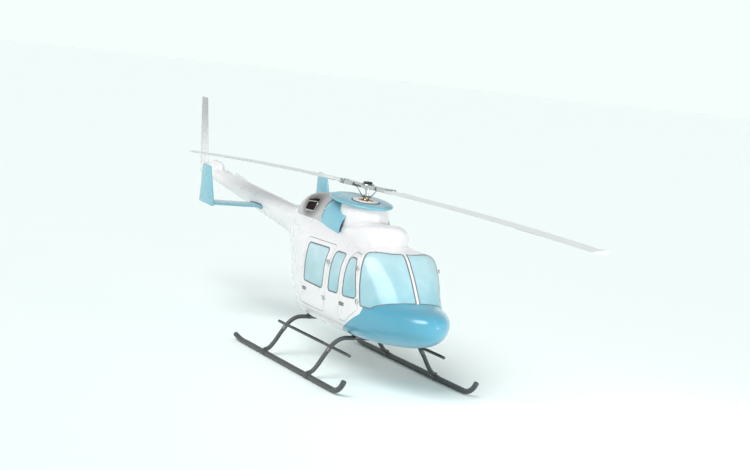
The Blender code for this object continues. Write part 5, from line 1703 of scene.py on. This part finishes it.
def strap(x, side, path, width, face):
    """Flat webbing turned towards face, its path's x counted outwards from the seat's middle."""
    points = through([(x + side * out, y, z) for out, y, z in path], 8)
    rings = []
    for k, p in enumerate(points):
        ahead = (points[min(k + 1, len(points) - 1)] - points[max(k - 1, 0)]).normalized()
        across = ahead.cross(face).normalized()
        out = across.cross(ahead).normalized()
        rings.append([p + across * u * width + out * h * BELT_THICK for u, h in (
            (-0.5, -0.5), (-0.46, -0.9), (0.46, -0.9), (0.5, -0.5), (0.5, 0.5), (0.46, 0.9),
            (-0.46, 0.9), (-0.5, 0.5))])
    return loft(rings)


def make_interior():
    inner = body_solid(SKIN + 0.001)
    floor = tool(box((-1, -1.85, 0.855), (1, 0.585, 0.885)))
    keep(carve(floor, keep=[inner]), "cabin_floor_mat", "airframe", "cabin_trim", GRIP,
         "cabin_floor")
    wall = tool(box((-1, 0.5853, 0.855), (1, 0.605, 2.5)))
    keep(carve(wall, keep=[inner]), "rear_bulkhead_lining", "airframe", "cabin_trim", LINING,
         "rear_bulkhead")
    ribs = bmesh.new()
    for x in spread(-0.54, 0.54, 7):
        merge(ribs, soft_box((x - 0.012, 0.575, 1.76), (x + 0.012, 0.5868, 1.98), 0.004, 2))
    keep(carve(tool(ribs), keep=[inner]), "bulkhead_ribs", "airframe", "cabin_trim", TRIM)
    for name, (half, front, rear) in (("front_seat_box", (0.50, -0.98, -0.54)),
                                      ("rear_seat_box", (0.48, 0.06, 0.585))):
        bm = soft_box((-half, front, 0.8853), (half, rear, 1.08), 0.014)
        keep(bm, name + "_shell", "airframe", "cabin_trim", TRIM, name)
        edge = bmesh.new()
        for x0, x1 in ((-half + 0.03, -0.02), (0.02, half - 0.03)):
            merge(edge, soft_box((x0, front - 0.006, 0.92), (x1, front + 0.004, 1.05), 0.004, 2))
        keep(edge, name + "_doors", "airframe", "cabin_trim", LINING)

    for name, x in (("pilot_seat", -SEAT_X), ("copilot_seat", SEAT_X)):
        span = (x - SEAT_HALF, x + SEAT_HALF)
        cushion(name + "_base", span, ((-0.985, 1.085), (-0.66, 1.085)),
                ((-0.985, 1.178), (-0.66, 1.165)), 0.016, name, (0.33, 0.66))
        cushion(name + "_back", span, ((-0.555, 1.13), (-0.510, 1.715)),
                ((-0.655, 1.15), (-0.595, 1.700)), 0.012, (), (0.30, 0.55, 0.80))
        shell = bmesh.new()
        merge(shell, soft_box((x - 0.20, -0.553, 1.081), (x + 0.20, -0.530, 1.60), 0.008))
        merge(shell, tube(through([(x - 0.215, -0.545, 1.085), (x - 0.215, -0.520, 1.50),
                                   (x - 0.190, -0.503, 1.715), (x, -0.500, 1.725),
                                   (x + 0.190, -0.503, 1.715), (x + 0.215, -0.520, 1.50),
                                   (x + 0.215, -0.545, 1.085)], 8), 0.009, 14))
        keep(shell, name + "_frame", "airframe", "cabin_trim", DARK_STEEL)
        belts = bmesh.new()
        for s in (-1, 1):
            merge(belts, strap(x, s, [(0.205, -0.66, 1.095), (0.165, -0.72, 1.205),
                                      (0.03, -0.76, 1.222)], 0.046, Vector((0, -0.5, 1))))
            merge(belts, strap(x, s, [(0.09, -0.560, 1.722), (0.085, -0.628, 1.68),
                                      (0.075, -0.668, 1.45), (0.05, -0.705, 1.26),
                                      (0.02, -0.745, 1.222)], 0.040, Vector((0, -1, 0.15))))
        keep(belts, name + "_belts", "airframe", "seat_cloth", WEBBING)
        buckle = soft_box((x - 0.030, -0.785, 1.220), (x + 0.030, -0.730, 1.238), 0.006)
        keep(buckle, name + "_buckle", "airframe", "steel", STEEL)

    for tag, span, replaced in (("left", (0.01, 0.465), "rear_bench"),
                                ("right", (-0.465, -0.01), ())):
        cushion("rear_bench_base_" + tag, span, ((0.06, 1.085), (0.40, 1.085)),
                ((0.06, 1.180), (0.40, 1.165)), 0.016, replaced, (0.5,))
        cushion("rear_bench_back_" + tag, span, ((0.545, 1.13), (0.535, 1.70)),
                ((0.405, 1.15), (0.455, 1.685)), 0.012, (), (0.33, 0.66))
    belts = bmesh.new()
    for x in (-0.24, 0.24):
        for s in (-1, 1):
            merge(belts, strap(x, s, [(0.19, 0.405, 1.10), (0.13, 0.34, 1.205),
                                      (0.02, 0.30, 1.218)], 0.046, Vector((0, -0.5, 1))))
        merge(belts, soft_box((x - 0.028, 0.275, 1.214), (x + 0.028, 0.325, 1.230), 0.005))
    keep(belts, "rear_belts", "airframe", "seat_cloth", WEBBING)

    # Instrument console with a hood, blank round dials and a radio stack
    side = [(-1.66, 0.8853), (-1.66, 1.14), (-1.62, 1.29), (-1.44, 1.31), (-1.415, 1.275),
            (-1.48, 1.04), (-1.30, 0.98), (-1.30, 0.8853)]
    body = prism(side, 0, (-0.25, 0.25))
    bevelled(body, body.edges, 0.012)
    keep(body, "instrument_console_case", "airframe", "black_plastic", BLACK,
         "instrument_console")
    hood = [(-1.655, 1.20), (-1.655, 1.215), (-1.60, 1.312), (-1.43, 1.332), (-1.385, 1.318),
            (-1.390, 1.306), (-1.435, 1.316), (-1.595, 1.298)]
    keep(prism(hood, 0, (-0.262, 0.262)), "instrument_hood", "airframe", "black_plastic", GRIP)
    face_low, face_high = Vector((0, -1.48, 1.04)), Vector((0, -1.415, 1.275))
    up = (face_high - face_low).normalized()
    out = Vector((0, up.z, -up.y))
    dials, faces, hands = bmesh.new(), bmesh.new(), bmesh.new()
    for row, z in enumerate((0.055, 0.125, 0.190)):
        for k in range(5 if row < 2 else 4):
            x = (k - (2 if row < 2 else 1.5)) * 0.088
            spot = face_low + up * z + Vector((x, 0, 0)) + out * 0.001
            merge(dials, turned([(0, 0.031), (0.006, 0.031), (0.008, 0.028), (0.008, 0.0265),
                                 (0.002, 0.0265)], spot, out, 32))
            merge(faces, turned([(0.0021, 0.0262), (0.0032, 0.0262)], spot, out, 32))
            turn = 0.7 + 1.9 * ((k * 7 + row * 3) % 5) / 5
            aim = (up * math.cos(turn) + Vector((1, 0, 0)) * math.sin(turn)).normalized()
            side_v = out.cross(aim)
            base = spot + out * 0.0036
            tri = [base - aim * 0.006 + side_v * 0.0016, base + aim * 0.020,
                   base - aim * 0.006 - side_v * 0.0016]
            merge(hands, loft([tri, [p + out * 0.0008 for p in tri]]))
    keep(dials, "dial_bezels", "airframe", "steel", DARK_STEEL)
    keep(faces, "dial_faces", "airframe", "black_plastic", BLACK)
    keep(hands, "dial_pointers", "airframe", "paint_white", WHITE)
    stack = bmesh.new()
    for k in range(4):
        y = -1.462 + 0.038 * k
        z = 1.040 - 0.0127 * k
        merge(stack, soft_box((-0.16, y, z - 0.012), (0.16, y + 0.032, z + 0.006), 0.003, 2))
        for x in (-0.13, 0.13):
            merge(stack, turned([(0, 0.010), (0.012, 0.009), (0.014, 0.007)],
                                (x, y + 0.016, z + 0.006), (0, 0.33, 1), 16))
    keep(stack, "radio_stack", "airframe", "black_plastic", BLACK)

    # Flying controls at both front seats
    sticks, grips = bmesh.new(), bmesh.new()
    for x in (-SEAT_X, SEAT_X):
        line = through([(x, -1.16, 0.885), (x, -1.17, 1.02), (x, -1.11, 1.16),
                        (x, -1.105, 1.27)], 8)
        merge(sticks, tube(line, 0.010, 16))
        merge(sticks, turned([(0, 0.036), (0.012, 0.030), (0.030, 0.014)], (x, -1.16, 0.8855),
                             (0, 0, 1), 24))
        merge(grips, tube(through([(x, -1.105, 1.245), (x, -1.104, 1.29), (x, -1.112, 1.335),
                                   (x, -1.120, 1.352)], 6),
                          [0.014, 0.0155, 0.016, 0.017, 0.017, 0.0165, 0.0165, 0.016, 0.016,
                           0.0165, 0.0175, 0.018, 0.0185, 0.0185, 0.018, 0.0175, 0.017, 0.015,
                           0.010], 18))
        merge(sticks, tube([Vector((x - 0.235, -0.70, 0.96)), Vector((x - 0.235, -1.03, 1.15))],
                           0.011, 16))
        merge(grips, tube([Vector((x - 0.235, -0.94, 1.098)),
                           Vector((x - 0.235, -1.05, 1.1615))], 0.018, 18))
        for dx in (-0.085, 0.085):
            merge(sticks, tube([Vector((x + dx, -1.62, 0.90)), Vector((x + dx, -1.55, 1.03))],
                               0.008, 12))
            merge(grips, soft_box((x + dx - 0.045, -1.560, 0.995),
                                  (x + dx + 0.045, -1.540, 1.055), 0.006, 2))
    keep(sticks, "flight_controls", "airframe", "steel", DARK_STEEL)
    keep(grips, "control_grips", "airframe", "black_plastic", GRIP)


def make_door_fittings(outer_tree):
    """Handle plates and levers outside the doors, and pulls inside."""
    for kind, (hy, hz), (ry, rz) in (("crew", (-0.93, 1.13), (-1.02, 1.10)),
                                     ("passenger", (0.36, 1.12), (0.15, 1.10))):
        spot, normal, _, _ = outer_tree.find_nearest(Vector((0.72, hy, hz)))
        along = Vector((0, 1, 0))
        along = (along - normal * along.dot(normal)).normalized()
        up = normal.cross(along)
        if up.z < 0:
            up = -up

        def place(u, v, w):
            return spot + along * u + up * v + normal * w

        cup = [(-0.075, -0.026), (0.075, -0.026), (0.075, 0.026), (-0.075, 0.026)]
        plate = loft([[place(u, v, w) for u, v in rounded(grown(cup, -g), 0.018)]
                      for w, g in ((-0.002, 0.0), (0.0012, 0.0), (0.0020, 0.002))])
        both(plate, kind + "_handle_plate", door_bodies(kind), "steel", DARK_STEEL)
        lever = bmesh.new()
        bar = [place(-0.055, 0.004, 0.004), place(-0.050, 0.004, 0.012),
               place(0.0, 0.006, 0.013), place(0.045, 0.004, 0.012), place(0.055, 0.004, 0.004)]
        merge(lever, tube(through(bar, 6), 0.0065, 16))
        merge(lever, turned([(0.002, 0.013), (0.007, 0.013), (0.009, 0.010)],
                            place(-0.055, 0.004, 0), normal, 24))
        both(lever, kind + "_handle_lever", door_bodies(kind), "steel", STEEL)
        inside = bmesh.new()
        base = Vector((spot.x - SKIN - 0.003, ry, rz))
        merge(inside, tube(through([base, base + Vector((-0.035, 0.015, 0.004)),
                                    base + Vector((-0.038, 0.07, 0.01)),
                                    base + Vector((-0.035, 0.125, 0.004)),
                                    base + Vector((0, 0.14, 0))], 6), 0.008, 14))
        both(inside, kind + "_door_pull", door_bodies(kind), "black_plastic", BLACK)


# Setting
FLOOR_TINT = (0.880, 0.955, 0.935)
HORIZON = (0.914, 1.0, 0.973)
ZENITH = (0.44, 0.455, 0.46)
SUN = 2.35
NOSE_BOX = 230.0


def make_setting():
    look = Look("floor_look", FLOOR_TINT, 0.8)
    look.base(look.blend(tinted(FLOOR_TINT, 0.990), FLOOR_TINT, look.noise(0.35, 4.0)))
    look.rough(look.noise(3.0, 5.0), 0.75, 0.90)
    look.relief(look.noise(45.0, 3.0), 0.03, 0.002)
    look.shader.inputs["Specular IOR Level"].default_value = 0.1
    bm = bmesh.new()
    bmesh.ops.create_grid(bm, x_segments=8, y_segments=8, size=150)
    floor = placed(bm, "floor")
    floor.data.materials.append(look.mat)

    # A sky that matches the floor at the horizon and is dimmer overhead
    scene = bpy.context.scene
    world = bpy.data.worlds.new("studio")
    world.use_nodes = True
    nodes, links = world.node_tree.nodes, world.node_tree.links
    place = nodes.new("ShaderNodeTexCoord")
    split = nodes.new("ShaderNodeSeparateXYZ")
    fade = nodes.new("ShaderNodeMapRange")
    mix = nodes.new("ShaderNodeMix")
    fade.interpolation_type = "SMOOTHSTEP"
    fade.inputs["From Min"].default_value = 0.10
    fade.inputs["From Max"].default_value = 0.40
    mix.data_type = "RGBA"
    mix.inputs[6].default_value = (*HORIZON, 1)
    mix.inputs[7].default_value = (*ZENITH, 1)
    links.new(place.outputs["Generated"], split.inputs["Vector"])
    links.new(split.outputs["Z"], fade.inputs["Value"])
    links.new(fade.outputs["Result"], mix.inputs[0])
    links.new(mix.outputs[2], nodes["Background"].inputs["Color"])
    scene.world = world
    scene.view_settings.view_transform = "Standard"

    def lamp(kind, name, place, aim, energy):
        data = bpy.data.lights.new(name, kind)
        data.energy = energy
        obj = bpy.data.objects.new(name, data)
        obj.location = place
        direction = Vector(aim) - Vector(place)
        obj.rotation_euler = direction.to_track_quat("-Z", "Y").to_euler()
        obj.visible_camera = False
        scene.collection.objects.link(obj)
        return data

    sun = lamp("SUN", "key", (-6.5, -4.0, 9.5), (0, 0, 1.0), SUN)
    sun.angle = math.radians(38)
    nose = lamp("AREA", "nose_box", (3.2, -8.6, 2.1), (0.2, -3.3, 1.2), NOSE_BOX)
    nose.shape = "RECTANGLE"
    nose.size, nose.size_y = 3.2, 2.4


# The drawing's camera: seen from starboard and a little above, with the picture leaning
CAMERA_SIDE = math.radians(28.0)
CAMERA_LIFT = math.radians(8.0)
CAMERA_LEAN = math.radians(6.9)
CAMERA_DISTANCE = 25.0
CAMERA_TARGET = Vector((0, -MAST_AFT, 1.5))
TARGET_PIXEL = (357.65, 268.9)          # where the target falls in the drawing
PIXELS_PER_METRE = 66.4
PICTURE = (750, 470)
SENSOR = 36.0


def make_camera():
    side, lift, lean = CAMERA_SIDE, CAMERA_LIFT, CAMERA_LEAN
    back = Vector((-math.sin(side) * math.cos(lift), -math.cos(side) * math.cos(lift),
                   math.sin(lift)))
    right = Vector((math.cos(side), -math.sin(side), 0))
    up = back.cross(right)
    tilted_right = right * math.cos(lean) + up * math.sin(lean)
    tilted_up = up * math.cos(lean) - right * math.sin(lean)
    data = bpy.data.cameras.new("camera")
    cam = bpy.data.objects.new("camera", data)
    bpy.context.scene.collection.objects.link(cam)
    rotation = Matrix((tilted_right, tilted_up, back)).transposed()
    cam.matrix_world = (Matrix.Translation(CAMERA_TARGET + back * CAMERA_DISTANCE)
                        @ rotation.to_4x4())
    data.sensor_width = SENSOR
    data.lens = SENSOR * CAMERA_DISTANCE * PIXELS_PER_METRE / PICTURE[0]
    data.shift_x = (PICTURE[0] / 2 - TARGET_PIXEL[0]) / PICTURE[0]
    data.shift_y = (TARGET_PIXEL[1] - PICTURE[1] / 2) / PICTURE[0]
    data.clip_end = 400
    bpy.context.scene.camera = cam


outer_body, body_tree = make_body()
make_hinges()
make_pylon(outer_body)
make_main_rotor()
make_tail_rotor()
make_tail()
make_gear(outer_body)
make_interior()
make_door_fittings(body_tree)
clear_tools()
for name in ("engine_block", "transmission_block"):
    for material_slot in bpy.data.objects[name].material_slots:
        material_slot.material = SOOT
make_setting()
make_camera()
